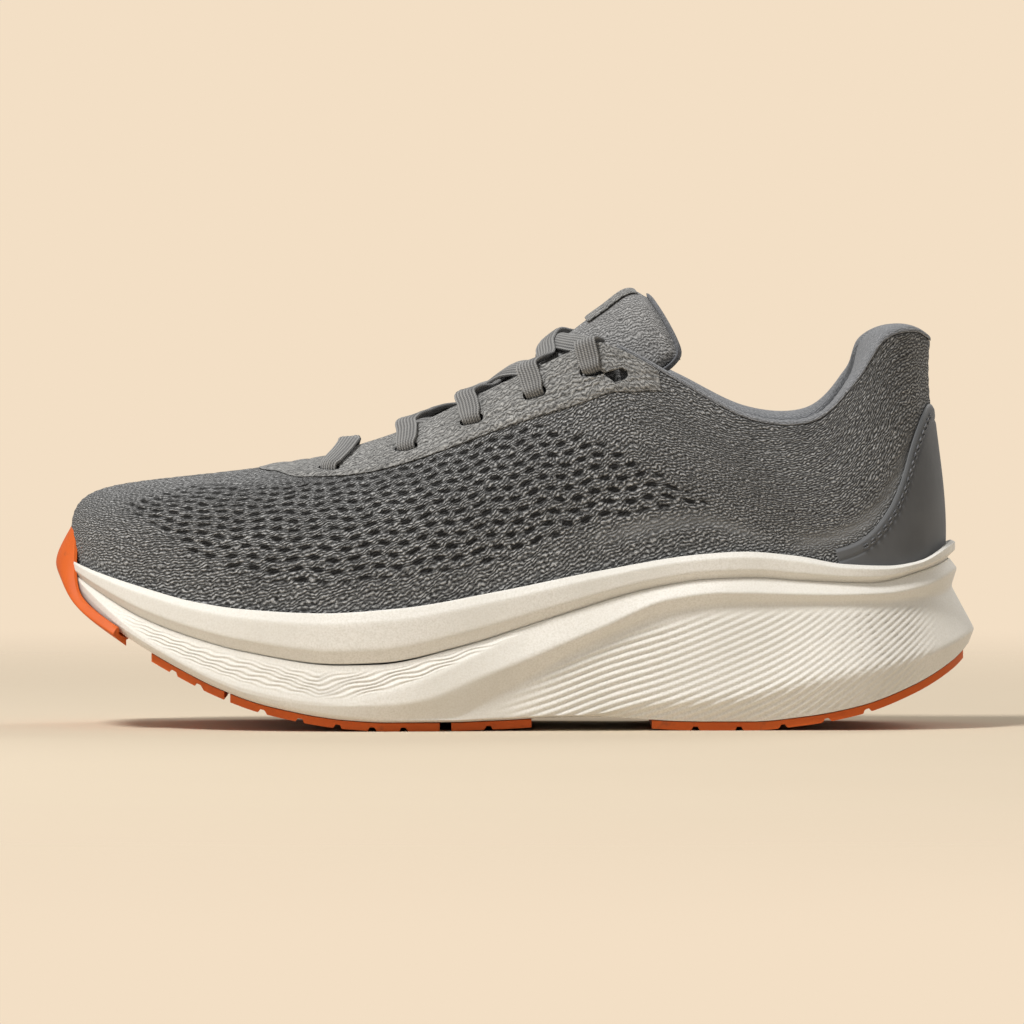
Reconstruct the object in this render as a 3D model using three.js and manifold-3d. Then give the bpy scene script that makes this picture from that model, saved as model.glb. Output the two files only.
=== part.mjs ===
// A left running shoe, as an assembly of its separate pieces: foam midsole in two layers, rubber outsole
// pods, knitted upper with its overlays and stiffeners, padded collar, tongue, lace and removable sockliner.
//
// Units are millimetres. +X runs from the toe to the heel, -Y is the outer (lateral) side, +Z is up.
// The origin is on the floor, under the middle of the shoe.
//
// Two parametric surfaces carry every piece:
//   the sole wall: a plan outline, pushed outwards by an offset, at the height of a feature line;
//   the upper: ribs (cubic Bezier curves) that rise from the sole to the topline, all the way round.
// Both run round the shoe by "turn": 0 is the toe, 0 to 1 the outer side, 1 the heel, 1 to 2 the inner side.
import * as THREE from "three";
import Module from "manifold-3d";
import { mergeVertices } from "three/addons/utils/BufferGeometryUtils.js";

// ---------------------------------------------------------------- driving sizes
const LENGTH = 298; // toe rubber to heel flare
const WIDTH = 110; // across the ball of the foot
const HEIGHT = 142; // floor to the tip of the tongue

const GAP = 0.3; // between bonded or sewn pieces
const PARTING = 0.6; // between the two foam layers
const KNIT = 2.2; // knitted upper
const OVERLAY = 0.6; // film fused round the eyelets
const BACKING = 0.8; // tape behind the eyelets
const HEEL_PANEL = 0.9;
const COUNTER = 1.4; // moulded heel stiffener
const TOE_PUFF = 0.7; // stiffener inside the toe
const LINING = 1.1;
const RUBBER = 2.6; // outsole pods
const TREAD = 1.2; // depth of the tread grooves
const TOP_FOAM = 8; // upper foam layer under the middle of the foot
const STROBEL = 1.5; // board sewn to the bottom edge of the upper
const SOCK_FOAM = 4.2;
const SOCK_COVER = 0.8;
const SOCK_CLEARANCE = 1.5; // sockliner to the walls
const LACE_WIDTH = 6.4;
const LACE = 1.4; // lace thickness
const LACE_CLEARANCE = 0.45;
const AGLET_RADIUS = 1.5;
const AGLET_LENGTH = 21;
const EYELET_ROOM = 1.6; // left by the lace along the slot
const EYELET_SLACK = 4; // and across it
const EYELET_LENGTH = LACE_WIDTH + EYELET_ROOM; // slot, along the throat
const EYELET_WIDTH = LACE + EYELET_SLACK;
const TONGUE_FACE = 1.1;
const TONGUE_FOAM = 4;
const TONGUE_LINING = 0.9;
const TONGUE_BINDING = 1.6; // how far the binding stands round the edge
const TONGUE_SPAN = 80; // half the turn of the tongue's arch, in degrees

// ---------------------------------------------------------------- outlines
// The outlines below are drawn for a shoe of this size, and stretched to the sizes above.
const DRAWN = { length: 298, width: 110, height: 142, wall: 4.4, lace: 6.4 };
const SX = LENGTH / DRAWN.length;
const SY = WIDTH / DRAWN.width;
const SZ = HEIGHT / DRAWN.height;

// Plan of the sole where it meets the upper: half widths at even steps of turn, toe to heel.
const TOE_X = -145;
const HEEL_X = 140;
const TOE_Y = 7;
const OUTER_Y = [-15, -34, -46.5, -51, -47, -41, -38, -35.8, -22.5];
const INNER_Y = [28.5, 42.5, 49.5, 49, 40, 34.5, 34.5, 34.8, 22.5];

// Heights of the feature lines of the sole wall along the shoe: [x, z].
const BITE = [[-145, 54.4], [-134, 50.2], [-118, 45.3], [-102, 41.1], [-86, 38.8], [-61, 37.6], [-37, 39.1],
  [-4.5, 44.6], [28, 51.1], [60, 56.2], [74, 57], [90, 55.7], [106, 53], [120, 52.4], [130, 53.8], [142, 60.5]];
const CREASE = [[-144.5, 51.6], [-134, 44.6], [-118, 35.8], [-102, 30], [-86, 25.8], [-56, 21.6], [-43, 21.9],
  [-17, 27.4], [12, 36.5], [44, 45.9], [62, 48.7], [77, 49.2], [93, 48.2], [114, 47.5], [133, 51.8], [143, 55.8]];
const RIDGE = [[-143, 49.5], [-131, 38.8], [-118, 29], [-102, 20], [-86, 13.8], [-69, 10.2], [-55, 8.9],
  [-42, 11.5], [-27, 17], [-4, 28.1], [14, 36.8], [40, 60]];
const FACE_LOW = [[-143, 47], [-118, 27], [-86, 12.4], [-58, 8.2], [-39, 8.6], [-27, 10.5], [-12, 16.7],
  [7.5, 24.5], [28, 32.9], [50, 42], [67, 44], [102, 43.3], [119, 43.7], [132, 45.9], [143, 51]];
const UNDER_FACE = [[-143, 40], [-86, 9], [-35, 3], [-19.5, 4.2], [-7.8, 9.9], [7.5, 18.3], [20, 25.5],
  [32, 31], [50, 37.5], [67, 40.2], [119, 41], [137, 43], [143, 46]];
const FLANK = [[-143, 40], [-86, 8], [-35, 2], [0, 3.6], [28, 5.8], [41, 8.9], [67, 10.2], [93, 15.4],
  [119, 20.6], [137, 25.8], [150, 32]];
const TREAD_LINE = [[-150, 53], [-146, 47.5], [-141, 40.5], [-134.5, 33.8], [-125, 27.3], [-115, 21.3],
  [-103.5, 15.1], [-95, 11], [-82.4, 6.3], [-72.7, 3.9], [-63, 2], [-53, 0.7], [-40, 0], [-22, 0], [-5, 0.5],
  [15, 1.4], [28, 1.5], [41, 0.8], [54, 0.1], [62, 0], [76, 0], [93, 1.6], [110.6, 5], [128, 11.5], [141, 19],
  [150, 27]];
const FOOTBED = [[-145, 51], [-141, 47.8], [-134, 43.2], [-118, 36.4], [-102, 32.1], [-86, 29.8], [-61, 28.6],
  [-37, 30.1], [-4.5, 35.6], [28, 42.1], [60, 46.5], [74, 46.5], [90, 45.5], [106, 44.5], [120, 44], [141, 44.5]];

// How far each feature line stands out from the plan outline: [x, offset].
const BITE_OUT = [[-145, 0.1], [-120, 0.8], [141, 1.4]];
const BAND_OUT = [[-145, 0], [-120, 2.5], [100, 2.7], [140, 2.8]];
const CREASE_OUT = [[-145, -0.7], [-120, 0.3], [140, 0.5]];
const RIDGE_OUT = [[-145, -0.9], [-120, 2.6], [-60, 3.6], [-20, 3.4], [12, 1], [140, 1]];
const FACE_LOW_OUT = [[-145, -1.1], [-120, 2.6], [-60, 3.6], [-10, 4.4], [50, 4], [140, 3.4]];
const UNDER_FACE_OUT = [[-145, -1.4], [-120, 2.2], [-60, 3], [-15, 1.6], [30, 1.2], [140, 1.6]];
const FLANK_OUT = [[-145, -1.8], [-120, 1.6], [-60, 2.4], [-5, 1.8], [30, 4], [60, 6.5], [95, 8.2], [140, 9]];
const TREAD_OUT = [[-145, -2.4], [-120, 0.4], [-60, 0.6], [0, -1.5], [30, 1], [60, 3.4], [100, 5], [140, 7.4]];

// Topline, from the bottom of the throat up its edge, round the corner at the top eyelet, along the collar and
// up to the middle of the heel: [turn, x, middle y, half gap, z].
const TOPLINE = [[0, -60.5, 3.5, 0, 86.4], [0.1, -60, 3.4, 4.2, 86.5], [0.2, -57.5, 3.2, 8, 87.3],
  [0.3, -50, 3, 11.8, 89.8], [0.4, -33, 2.4, 15.8, 95.8], [0.5, -7, 1.4, 20, 108.4], [0.55, 9, 0.9, 23.6, 116],
  [0.6, 25.5, 0.4, 27.6, 123.2], [0.63, 32, 0.2, 29, 122.3], [0.66, 40, 0, 30.2, 118.6],
  [0.7, 54, 0, 32, 110.4], [0.75, 76, 0, 33.6, 98.9], [0.8, 96, 0, 31.6, 98.3], [0.85, 109.5, 0, 27.8, 110.4],
  [0.9, 119, 0, 22.6, 124], [0.95, 128.8, 0, 14.2, 127], [1, 134.7, 0, 0, 124.2]];
const INNER_COLLAR_RISE = 2.5; // the inner side of the collar stands this much higher

// Handles of the ribs: [turn, lower handle out, lower handle up, upper handle out, upper handle down].
const RIBS = [[0, 5.5, 36, 78, 12], [0.1, 5.5, 33, 68, 12], [0.2, 5, 32, 47, 10], [0.3, 4.5, 34, 29, 8],
  [0.4, 4, 34, 21, 8], [0.5, 3, 32, 15, 10], [0.6, 2.5, 30, 9, 18], [0.7, 3, 28, 4, 22], [0.8, 4, 22, 3, 16],
  [0.9, 4.5, 26, 2, 20], [1, 5.5, 30, -3, 26]];
const RIB_FOOT_IN = 2.9; // the upper's foot stands this far inside the plan outline

// Collar padding, from the knit inwards: [turn, thickness at its fullest].
const PADDING = [[0.58, 0.8], [0.64, 2], [0.7, 4], [0.76, 5.2], [0.82, 7.5], [0.88, 9.5], [1, 8]];

// Tongue: its middle line [share, x, z] and its arch [share, middle y, half width, depth].
const TONGUE_LINE = [[0, -74, 79.4], [0.12, -56, 82.2], [0.3, -33, 91.4], [0.47, -12, 104.2], [0.66, 11, 121.5],
  [0.82, 28, 134.4], [0.93, 38, 140.6], [1, 43.5, 139.4]];
const TONGUE_ARCH = [[0, 3.5, 22, 9], [0.12, 3.4, 22, 10], [0.3, 2.4, 23, 14], [0.47, 1.6, 23.5, 19],
  [0.66, 0.9, 24.5, 28], [0.76, 0.6, 23, 32], [0.86, 0.3, 21.2, 33], [1, 0, 18.5, 32]];
const FLAP_START = 0.755; // share of the tongue where its free flap begins

// Eyelets from the bottom of the throat up: [turn, share up the rib]. The last one is left unlaced.
const EYELETS = [[0.285, 0.8], [0.4, 0.815], [0.475, 0.83], [0.54, 0.845], [0.595, 0.865], [0.626, 0.845]];
const LACED = EYELETS.length - 1;

const SECTION_LENGTH = 11; // most that sections along the shoe stand apart
const SECTIONS = Math.round(LENGTH / SECTION_LENGTH); // shared by all its pieces
const RIB_ROWS = [0, 0.08, 0.2, 0.34, 0.5, 0.65, 0.78, 0.9, 1]; // rows up the upper, shared by its layers

// ---------------------------------------------------------------- curves
const lerp = (a, b, s) => a + (b - a) * s;

// A curve through rows of [parameter, value, ...]. Slopes never overshoot the rows.
function through(rows) {
  const count = rows[0].length - 1;
  const at = rows.map((r) => r[0]);
  const tangents = [];
  for (let c = 1; c <= count; c++) {
    const slope = at.slice(1).map((x, i) => (rows[i + 1][c] - rows[i][c]) / (x - at[i]));
    const m = at.map((_, i) => {
      if (i === 0) return slope[0];
      if (i === at.length - 1) return slope[i - 1];
      if (slope[i - 1] * slope[i] <= 0) return 0;
      return (2 * slope[i - 1] * slope[i]) / (slope[i - 1] + slope[i]);
    });
    tangents.push(m);
  }
  return (x) => {
    const clamped = THREE.MathUtils.clamp(x, at[0], at[at.length - 1]);
    let i = 0;
    while (i < at.length - 2 && clamped > at[i + 1]) i++;
    const h = at[i + 1] - at[i];
    const s = (clamped - at[i]) / h;
    const values = tangents.map((m, c) => {
      const [a, b] = [rows[i][c + 1], rows[i + 1][c + 1]];
      return a * (1 + 2 * s) * (1 - s) ** 2 + b * s * s * (3 - 2 * s) +
        h * (m[i] * s * (1 - s) ** 2 - m[i + 1] * s * s * (1 - s));
    });
    return count === 1 ? values[0] : values;
  };
}

const heightLine = (rows) => {
  const f = through(rows);
  return (x) => SZ * f(x / SX);
};
const offsetLine = (rows) => {
  const f = through(rows);
  return (x) => f(x / SX);
};

// A closed curve through rows of [turn, x, y, z], with period 2.
function closedLoop(rows) {
  const n = rows.length;
  const knot = (i) => rows[((i % n) + n) % n];
  const turnOf = (i) => knot(i)[0] + 2 * Math.floor(i / n);
  const slope = (i, c) => (knot(i + 1)[c] - knot(i - 1)[c]) / (turnOf(i + 1) - turnOf(i - 1));
  return (turn) => {
    const u = ((turn % 2) + 2) % 2;
    let i = 0;
    while (i < n - 1 && u >= rows[i + 1][0]) i++;
    const h = turnOf(i + 1) - turnOf(i);
    const s = (u - turnOf(i)) / h;
    const value = (c) => knot(i)[c] * (1 + 2 * s) * (1 - s) ** 2 + knot(i + 1)[c] * s * s * (3 - 2 * s) +
      h * (slope(i, c) * s * (1 - s) ** 2 - slope(i + 1, c) * s * s * (1 - s));
    return new THREE.Vector3(value(1), value(2), value(3));
  };
}

const sideOf = (turn) => { // 0 at the toe to 1 at the heel, on either side
  const u = ((turn % 2) + 2) % 2;
  return u <= 1 ? u : 2 - u;
};
const isInner = (turn) => ((turn % 2) + 2) % 2 > 1;

// ---------------------------------------------------------------- the sole wall
const planLoop = closedLoop((() => {
  const steps = OUTER_Y.length + 1;
  const xAt = (i) => SX * lerp(TOE_X, HEEL_X, (1 - Math.cos((Math.PI * i) / steps)) / 2);
  const rows = [[0, xAt(0), SY * TOE_Y, 0]];
  OUTER_Y.forEach((y, i) => rows.push([(i + 1) / steps, xAt(i + 1), SY * y, 0]));
  rows.push([1, xAt(steps), 0, 0]);
  [...INNER_Y].reverse().forEach((y, i) => rows.push([1 + (i + 1) / steps, xAt(steps - 1 - i), SY * y, 0]));
  return rows;
})());

function planNormal(turn) {
  const step = 0.004;
  const along = planLoop(turn + step).sub(planLoop(turn - step)).normalize();
  return new THREE.Vector3(along.y, -along.x, 0);
}

// The point of the plan outline at this turn, pushed out by this much, at the height of a line.
function wallPoint(turn, out, heightAt) {
  const p = planLoop(turn).addScaledVector(planNormal(turn), out);
  p.z = heightAt(p.x);
  return p;
}

const treadAt = heightLine(TREAD_LINE);
const bottomAt = (x) => treadAt(x) + RUBBER + GAP;
const biteAt = heightLine(BITE);
const footbedAt = heightLine(FOOTBED);
const noLower = (line, above) => (x) => Math.max(line(x), bottomAt(x) + above);
const flankAt = noLower(heightLine(FLANK), 0.7);
const underAt = noLower(heightLine(UNDER_FACE), 1.4);
const faceLowAt = noLower(heightLine(FACE_LOW), 2.1);
const creaseAt = noLower(heightLine(CREASE), 3.6);
const ridgeLine = heightLine(RIDGE);
const ridgeAt = (x) => Math.max(Math.min(ridgeLine(x), creaseAt(x) - 0.8), bottomAt(x) + 2.8);
const partingAt = (x) => Math.max(footbedAt(x) - TOP_FOAM, lerp(bottomAt(x), footbedAt(x), 0.45));

// Outer wall of the top foam layer, from the top edge down to the crease.
const bandAt = (share) => (x) => lerp(biteAt(x), creaseAt(x), share);
const [biteOut, bandOut, creaseOut] = [BITE_OUT, BAND_OUT, CREASE_OUT].map(offsetLine);
const [ridgeOut, faceLowOut, underOut] = [RIDGE_OUT, FACE_LOW_OUT, UNDER_FACE_OUT].map(offsetLine);
const [flankOut, treadOut] = [FLANK_OUT, TREAD_OUT].map(offsetLine);

const topWall = (turn) => {
  const x = planLoop(turn).x;
  return [
    ...rimInside(turn),
    wallPoint(turn, biteOut(x), biteAt),
    wallPoint(turn, bandOut(x), bandAt(0.22)),
    wallPoint(turn, bandOut(x), bandAt(0.74)),
    wallPoint(turn, creaseOut(x), creaseAt),
  ];
};
const carrierWall = (turn) => {
  const x = planLoop(turn).x;
  return [
    wallPoint(turn, creaseOut(x), (at) => creaseAt(at) - PARTING),
    wallPoint(turn, ridgeOut(x), ridgeAt),
    wallPoint(turn, faceLowOut(x), faceLowAt),
    wallPoint(turn, underOut(x), underAt),
    wallPoint(turn, flankOut(x), flankAt),
    wallPoint(turn, treadOut(x), bottomAt),
  ];
};

// ---------------------------------------------------------------- meshes
// A closed surface through rings of points. Rings that go all the way round join the last to the first; the
// end rings of the others are either zipped (their two halves coincide) or closed by a strip.
function ringSolid(rings, { round = false, caps = false } = {}) {
  const m = rings[0].length;
  const positions = [];
  const quad = (a, b, c, d) => { // split along its shorter diagonal, so that nested faces split alike
    const split = a.distanceTo(c) <= b.distanceTo(d) ? [a, b, c, a, c, d] : [a, b, d, b, c, d];
    split.forEach((p) => positions.push(p.x, p.y, p.z));
  };
  const last = round ? rings.length : rings.length - 1;
  for (let i = 0; i < last; i++) {
    const [here, next] = [rings[i], rings[(i + 1) % rings.length]];
    for (let j = 0; j < m; j++) quad(here[j], next[j], next[(j + 1) % m], here[(j + 1) % m]);
  }
  if (caps) {
    const [first, end] = [rings[0], rings[rings.length - 1]];
    for (let j = 0; j < m / 2 - 1; j++) {
      quad(first[j], first[j + 1], first[m - 2 - j], first[m - 1 - j]);
      quad(end[m - 1 - j], end[m - 2 - j], end[j + 1], end[j]);
    }
  }
  return tidy(positions);
}

// Merges equal corners, drops collapsed triangles and turns the surface outwards.
function tidy(positions) {
  const raw = new THREE.BufferGeometry();
  raw.setAttribute("position", new THREE.Float32BufferAttribute(positions, 3));
  const merged = mergeVertices(raw, 2e-3);
  const p = merged.attributes.position;
  const index = merged.index.array;
  const kept = [];
  for (let i = 0; i < index.length; i += 3) {
    const [a, b, c] = [index[i], index[i + 1], index[i + 2]];
    if (a !== b && b !== c && a !== c) kept.push(a, b, c);
  }
  const corner = (i) => new THREE.Vector3().fromBufferAttribute(p, i);
  let volume = 0;
  for (let i = 0; i < kept.length; i += 3)
    volume += corner(kept[i]).dot(corner(kept[i + 1]).cross(corner(kept[i + 2])));
  if (volume < 0)
    for (let i = 0; i < kept.length; i += 3) [kept[i + 1], kept[i + 2]] = [kept[i + 2], kept[i + 1]];
  const made = new THREE.BufferGeometry();
  made.setAttribute("position", p);
  made.setIndex(kept);
  return made;
}

const wasm = await Module();
wasm.setup();

function toSolid(geometry) {
  const bare = geometry.clone();
  for (const name of ["normal", "uv"]) bare.deleteAttribute(name);
  const merged = mergeVertices(bare, 1e-4);
  return new wasm.Manifold(new wasm.Mesh({
    numProp: 3,
    vertProperties: new Float32Array(merged.attributes.position.array),
    triVerts: new Uint32Array(merged.index.array),
  }));
}

function toGeometry(solid) {
  const mesh = solid.getMesh();
  const made = new THREE.BufferGeometry();
  made.setAttribute("position", new THREE.BufferAttribute(new Float32Array(mesh.vertProperties), 3));
  made.setIndex(new THREE.BufferAttribute(new Uint32Array(mesh.triVerts), 1));
  return made;
}

function cut(geometry, cutters) {
  const solid = cutters.reduce((left, cutter) => left.subtract(cutter), toSolid(geometry));
  return tidy(toGeometry(solid).toNonIndexed().attributes.position.array);
}

const steps = (n) => Array.from({ length: n + 1 }, (_, i) => i / n);

// ---------------------------------------------------------------- midsole, boards and sockliner
// Points across the shoe between the two sides, leaving both ends out.
function across(outer, inner, count, heightAt) {
  return Array.from({ length: count }, (_, i) => {
    const s = (i + 1) / (count + 1);
    const p = outer.clone().lerp(inner, s);
    p.z = heightAt(p.x, 2 * s - 1);
    return p;
  });
}
const ACROSS = 5;
const turnsAlong = (count) => steps(count);
const opposite = (turn) => 2 - turn;

// Heights of the parting between the foam layers: a bowl that drops from the crease, inside the rim.
const underRim = (turn, lower) =>
  wallPoint(turn, -RIB_FOOT_IN + 0.4, (x) => Math.min(lerp(creaseAt(x), partingAt(x), 0.4), footbedAt(x) - 3.5))
    .add(new THREE.Vector3(0, 0, -lower));
function partingRow(turn, lower) {
  const [outer, inner] = [underRim(turn, lower), underRim(opposite(turn), lower)];
  return [outer, ...across(outer, inner, ACROSS, (x, w) => lerp(partingAt(x), outer.z + lower, w ** 4) - lower),
    inner];
}

function topLayer() {
  const rings = turnsAlong(SECTIONS).map((turn) => {
    const [outer, inner] = [topWall(turn), topWall(opposite(turn))];
    return [
      ...outer,
      ...partingRow(turn, 0),
      ...inner.reverse(),
      ...across(inner.at(-1), outer[0], ACROSS, footbedAt),
    ];
  });
  return ringSolid(rings);
}

function carrier() {
  const rings = turnsAlong(SECTIONS).map((turn) => {
    const [outer, inner] = [carrierWall(turn), carrierWall(opposite(turn))];
    return [
      ...outer,
      ...across(outer.at(-1), inner.at(-1), ACROSS, bottomAt),
      ...inner.reverse(),
      ...partingRow(turn, PARTING).reverse(),
    ];
  });
  return ringSolid(rings);
}

// A board that follows the footbed: inset from the plan outline, between two heights above the footbed.
// Its edge can stand higher than its middle, as the edge of a moulded sockliner does.
function footBoard(inset, low, high, edgeRise, count) {
  const rings = turnsAlong(count).map((turn) => {
    const width = wallPoint(turn, -inset, footbedAt).distanceTo(wallPoint(opposite(turn), -inset, footbedAt));
    const hollow = THREE.MathUtils.smoothstep(width, 8, 40); // the ends are flat across
    const heightAt = (base) => (x, w) =>
      footbedAt(x) + base + edgeRise(x) * lerp(1, Math.abs(w) ** 6, hollow);
    const edge = (side, base) => wallPoint(side, -inset, (x) => heightAt(base)(x, 1));
    const [outerLow, innerLow] = [turn, opposite(turn)].map((side) => edge(side, low));
    const [outerHigh, innerHigh] = [turn, opposite(turn)].map((side) => edge(side, high));
    return [
      outerHigh,
      outerLow,
      ...across(outerLow, innerLow, ACROSS, heightAt(low)),
      innerLow,
      innerHigh,
      ...across(innerHigh, outerHigh, ACROSS, heightAt(high)),
    ];
  });
  return ringSolid(rings);
}

// ---------------------------------------------------------------- outsole
// A point of the sole's underside: share 0 is the outer edge, 1 the inner edge. Depth is below the foam.
const RUBBER_INSET = 0.8;
function underside(turn, share, depth) {
  const edge = (side) => wallPoint(side, treadOut(planLoop(side).x) - RUBBER_INSET, bottomAt);
  const p = edge(turn).lerp(edge(opposite(turn)), share);
  p.z = bottomAt(p.x) - depth;
  return p;
}
const sideAtX = (x) => { // the turn on the outer side where the plan outline reaches this x
  let [low, high] = [0, 1];
  for (let i = 0; i < 30; i++) {
    const middle = (low + high) / 2;
    if (planLoop(middle).x < x) low = middle;
    else high = middle;
  }
  return (low + high) / 2;
};

function pod(fromX, toX, fromShare, toShare, count) {
  const [start, end] = [sideAtX(SX * fromX), sideAtX(SX * toX)];
  const columns = 4;
  const rings = steps(count).map((s) => {
    const turn = lerp(start, end, s);
    const row = (depth) => steps(columns).map((c) => underside(turn, lerp(fromShare, toShare, c), depth));
    return [...row(GAP), ...row(GAP + RUBBER).reverse()];
  });
  return ringSolid(rings, { caps: true });
}

// Grooves across the shoe that the tread is cut with.
const GROOVE_WIDTH = 2.1;
const grooveCutter = (x) => {
  const height = 12;
  const box = new THREE.BoxGeometry(GROOVE_WIDTH, WIDTH * 1.4, height);
  box.translate(SX * x, 0, treadAt(SX * x) + TREAD - height / 2);
  return toSolid(box);
};

const MIDDLE_SLOT = 0.05; // half of the slot down the middle of the sole, as a share of its width
const POD_ROWS = [[-116, -92.4, [-108.6, -100.4]], [-90.4, -23.4, [-80, -68, -56, -45, -35]], [-19.6, 6, [-8]]];
const HEEL_PODS = [44, 138.6, [58, 72, 86, 100, 113]];

// Toe bumper: under the toe from its rear edge to the tip, then up the front of the toe.
const BUMPER_REAR_X = -124.5;
const BUMPER_TOP = 68;
const BUMPER_SIDE = 3.2; // how far it laps up the side of the foam
const BUMPER_THICK = 3.2;
function toeBumper() {
  const reach = sideAtX(SX * BUMPER_REAR_X);
  const rise = (a) => { // how high the bumper stands at this share round the toe
    const crest = SZ * BUMPER_TOP - biteAt(SX * TOE_X);
    return BUMPER_SIDE + (crest + BUMPER_SIDE) * Math.exp(-((a / 0.42) ** 4));
  };
  const rings = steps(16).map((s) => {
    const a = 2 * s - 1;
    const turn = a * reach;
    const chord = wallPoint(turn, -RUBBER_INSET, bottomAt);
    const edgeX = planLoop(reach).x;
    const rearY = lerp(wallPoint(reach, -2, bottomAt).y, wallPoint(-reach, -2, bottomAt).y, (1 - a) / 2);
    const rear = new THREE.Vector3(edgeX, rearY, 0);
    const under = (b, depth) => {
      const p = rear.clone().lerp(chord, b);
      p.z = bottomAt(p.x) - depth;
      return p;
    };
    const front = (c, out) => {
      const base = wallPoint(turn, out, bottomAt);
      const top = Math.max(biteAt(chord.x), bottomAt(chord.x));
      const lift = rise(a) * c;
      base.z = Math.min(bottomAt(chord.x) + lift, top + rise(a));
      return base;
    };
    const shares = [0, 0.5, 0.86];
    const lifts = [0.12, 0.45, 1];
    const clearOf = Math.max(bandOut(chord.x), ridgeOut(chord.x), 0.1) + 0.6;
    return [
      ...shares.map((b) => under(b, 2 * GAP)),
      ...lifts.map((c) => front(c, clearOf)),
      ...[...lifts].reverse().map((c) => front(c, clearOf + BUMPER_THICK * (c === 1 ? 0.35 : 1))),
      ...[...shares].reverse().map((b) => under(b, GAP + BUMPER_THICK * (b === 0 ? 0.5 : 1))),
    ];
  });
  return ringSolid(rings, { caps: true });
}

// ---------------------------------------------------------------- the upper's surface
const topLoop = closedLoop((() => {
  const rows = TOPLINE.map(([turn, x, middle, half, z]) => [turn, SX * x, SY * (middle - half), SZ * z]);
  const inner = TOPLINE.slice(1, -1).reverse().map(([turn, x, middle, half, z]) => {
    const rise = INNER_COLLAR_RISE * THREE.MathUtils.smoothstep(turn, 0.62, 0.76) *
      (1 - THREE.MathUtils.smoothstep(turn, 0.84, 0.93));
    return [2 - turn, SX * x, SY * (middle + half), SZ * (z + rise)];
  });
  return [...rows, ...inner];
})());
const ribAt = through(RIBS);

function ribPoint(turn, v) {
  const [outLow, upLow, outHigh, downHigh] = ribAt(sideOf(turn));
  const normal = planNormal(turn);
  const foot = wallPoint(turn, -RIB_FOOT_IN, (x) => footbedAt(x) + GAP);
  const top = topLoop(turn);
  const low = foot.clone().addScaledVector(normal, outLow);
  low.z += SZ * upLow;
  const high = top.clone().addScaledVector(normal, SX * outHigh);
  high.z -= SZ * downHigh;
  return foot.multiplyScalar((1 - v) ** 3)
    .addScaledVector(low, 3 * v * (1 - v) ** 2)
    .addScaledVector(high, 3 * v * v * (1 - v))
    .addScaledVector(top, v ** 3);
}

function ribNormal(turn, v) {
  const [du, dv] = [0.006, 0.01];
  const [low, high] = [Math.max(v - dv, 0), Math.min(v + dv, 1)];
  const along = ribPoint(turn + du, v).sub(ribPoint(turn - du, v));
  const up = ribPoint(turn, high).sub(ribPoint(turn, low));
  return along.cross(up).normalize();
}

// The layers of the upper all take their shape from one net of points, so that they nest without crossing.
const NET = Array.from({ length: 2 * SECTIONS }, (_, i) => RIB_ROWS.map((v) => ({
  point: ribPoint(i / SECTIONS, v),
  normal: ribNormal(i / SECTIONS, v),
})));
function fromNet(turn, v, field) {
  const at = (((turn % 2) + 2) % 2) * SECTIONS;
  const i = Math.floor(at + 1e-9);
  const s = Math.max(at - i, 0);
  let j = 0;
  while (j < RIB_ROWS.length - 2 && v > RIB_ROWS[j + 1]) j++;
  const t = (v - RIB_ROWS[j]) / (RIB_ROWS[j + 1] - RIB_ROWS[j]);
  const [here, next] = [NET[i % NET.length], NET[(i + 1) % NET.length]];
  const low = here[j][field].clone().lerp(next[j][field], s);
  const high = here[j + 1][field].clone().lerp(next[j + 1][field], s);
  return low.lerp(high, t);
}
const surface = (turn, v) => fromNet(turn, v, "point");
const surfaceNormal = (turn, v) => fromNet(turn, v, "normal").normalize();
const upDirection = (turn, v) => surface(turn, v).sub(surface(turn, v - 0.04)).normalize();

// A point this deep inside the upper's outer face.
const layer = (turn, v, depth) => surface(turn, v).addScaledVector(fromNet(turn, v, "normal"), -depth);

// The foam rim stands just outside the upper, up to the bite line.
function rimInside(turn) {
  let [low, high] = [0, 0.5];
  for (let i = 0; i < 30; i++) {
    const middle = (low + high) / 2;
    const p = surface(turn, middle);
    if (p.z < biteAt(p.x)) low = middle;
    else high = middle;
  }
  const clear = planNormal(turn).multiplyScalar(1.4 * GAP);
  return [0, 0.5, 1].map((s) => {
    const p = surface(turn, s * low).add(clear);
    if (s === 0) p.z -= GAP;
    return p;
  });
}

// A sheet between two depths. Its edges are turns (from, to) that may depend on the height up the rib, and
// heights (low, high) that may depend on the turn. Its corners lie on the shared net, or on its own edges.
const asFunction = (value) => (typeof value === "function" ? value : () => value);
function sheet({ from = 0, to = 2, low = 0, high = 1, round = false }, outer, inner) {
  const [fromAt, toAt, lowAt, highAt, outerAt, innerAt] = [from, to, low, high, outer, inner].map(asFunction);
  const ends = RIB_ROWS.flatMap((v) => [fromAt(v), toAt(v)]);
  const first = Math.floor(Math.min(...ends) * SECTIONS + 1e-9);
  const last = Math.ceil(Math.max(...ends) * SECTIONS - 1e-9) - (round ? 1 : 0);
  const rings = [];
  for (let i = first; i <= last; i++) {
    const places = RIB_ROWS.map((row) => {
      const v = THREE.MathUtils.clamp(row, lowAt(i / SECTIONS), highAt(i / SECTIONS));
      const turn = THREE.MathUtils.clamp(i / SECTIONS, fromAt(v), toAt(v));
      return [turn, THREE.MathUtils.clamp(row, lowAt(turn), highAt(turn))];
    });
    const face = (depth) => places.map(([turn, v]) => layer(turn, v, depth(turn, v)));
    rings.push([...face(outerAt), ...face(innerAt).reverse()]);
  }
  return ringSolid(rings, { round, caps: !round });
}

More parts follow.
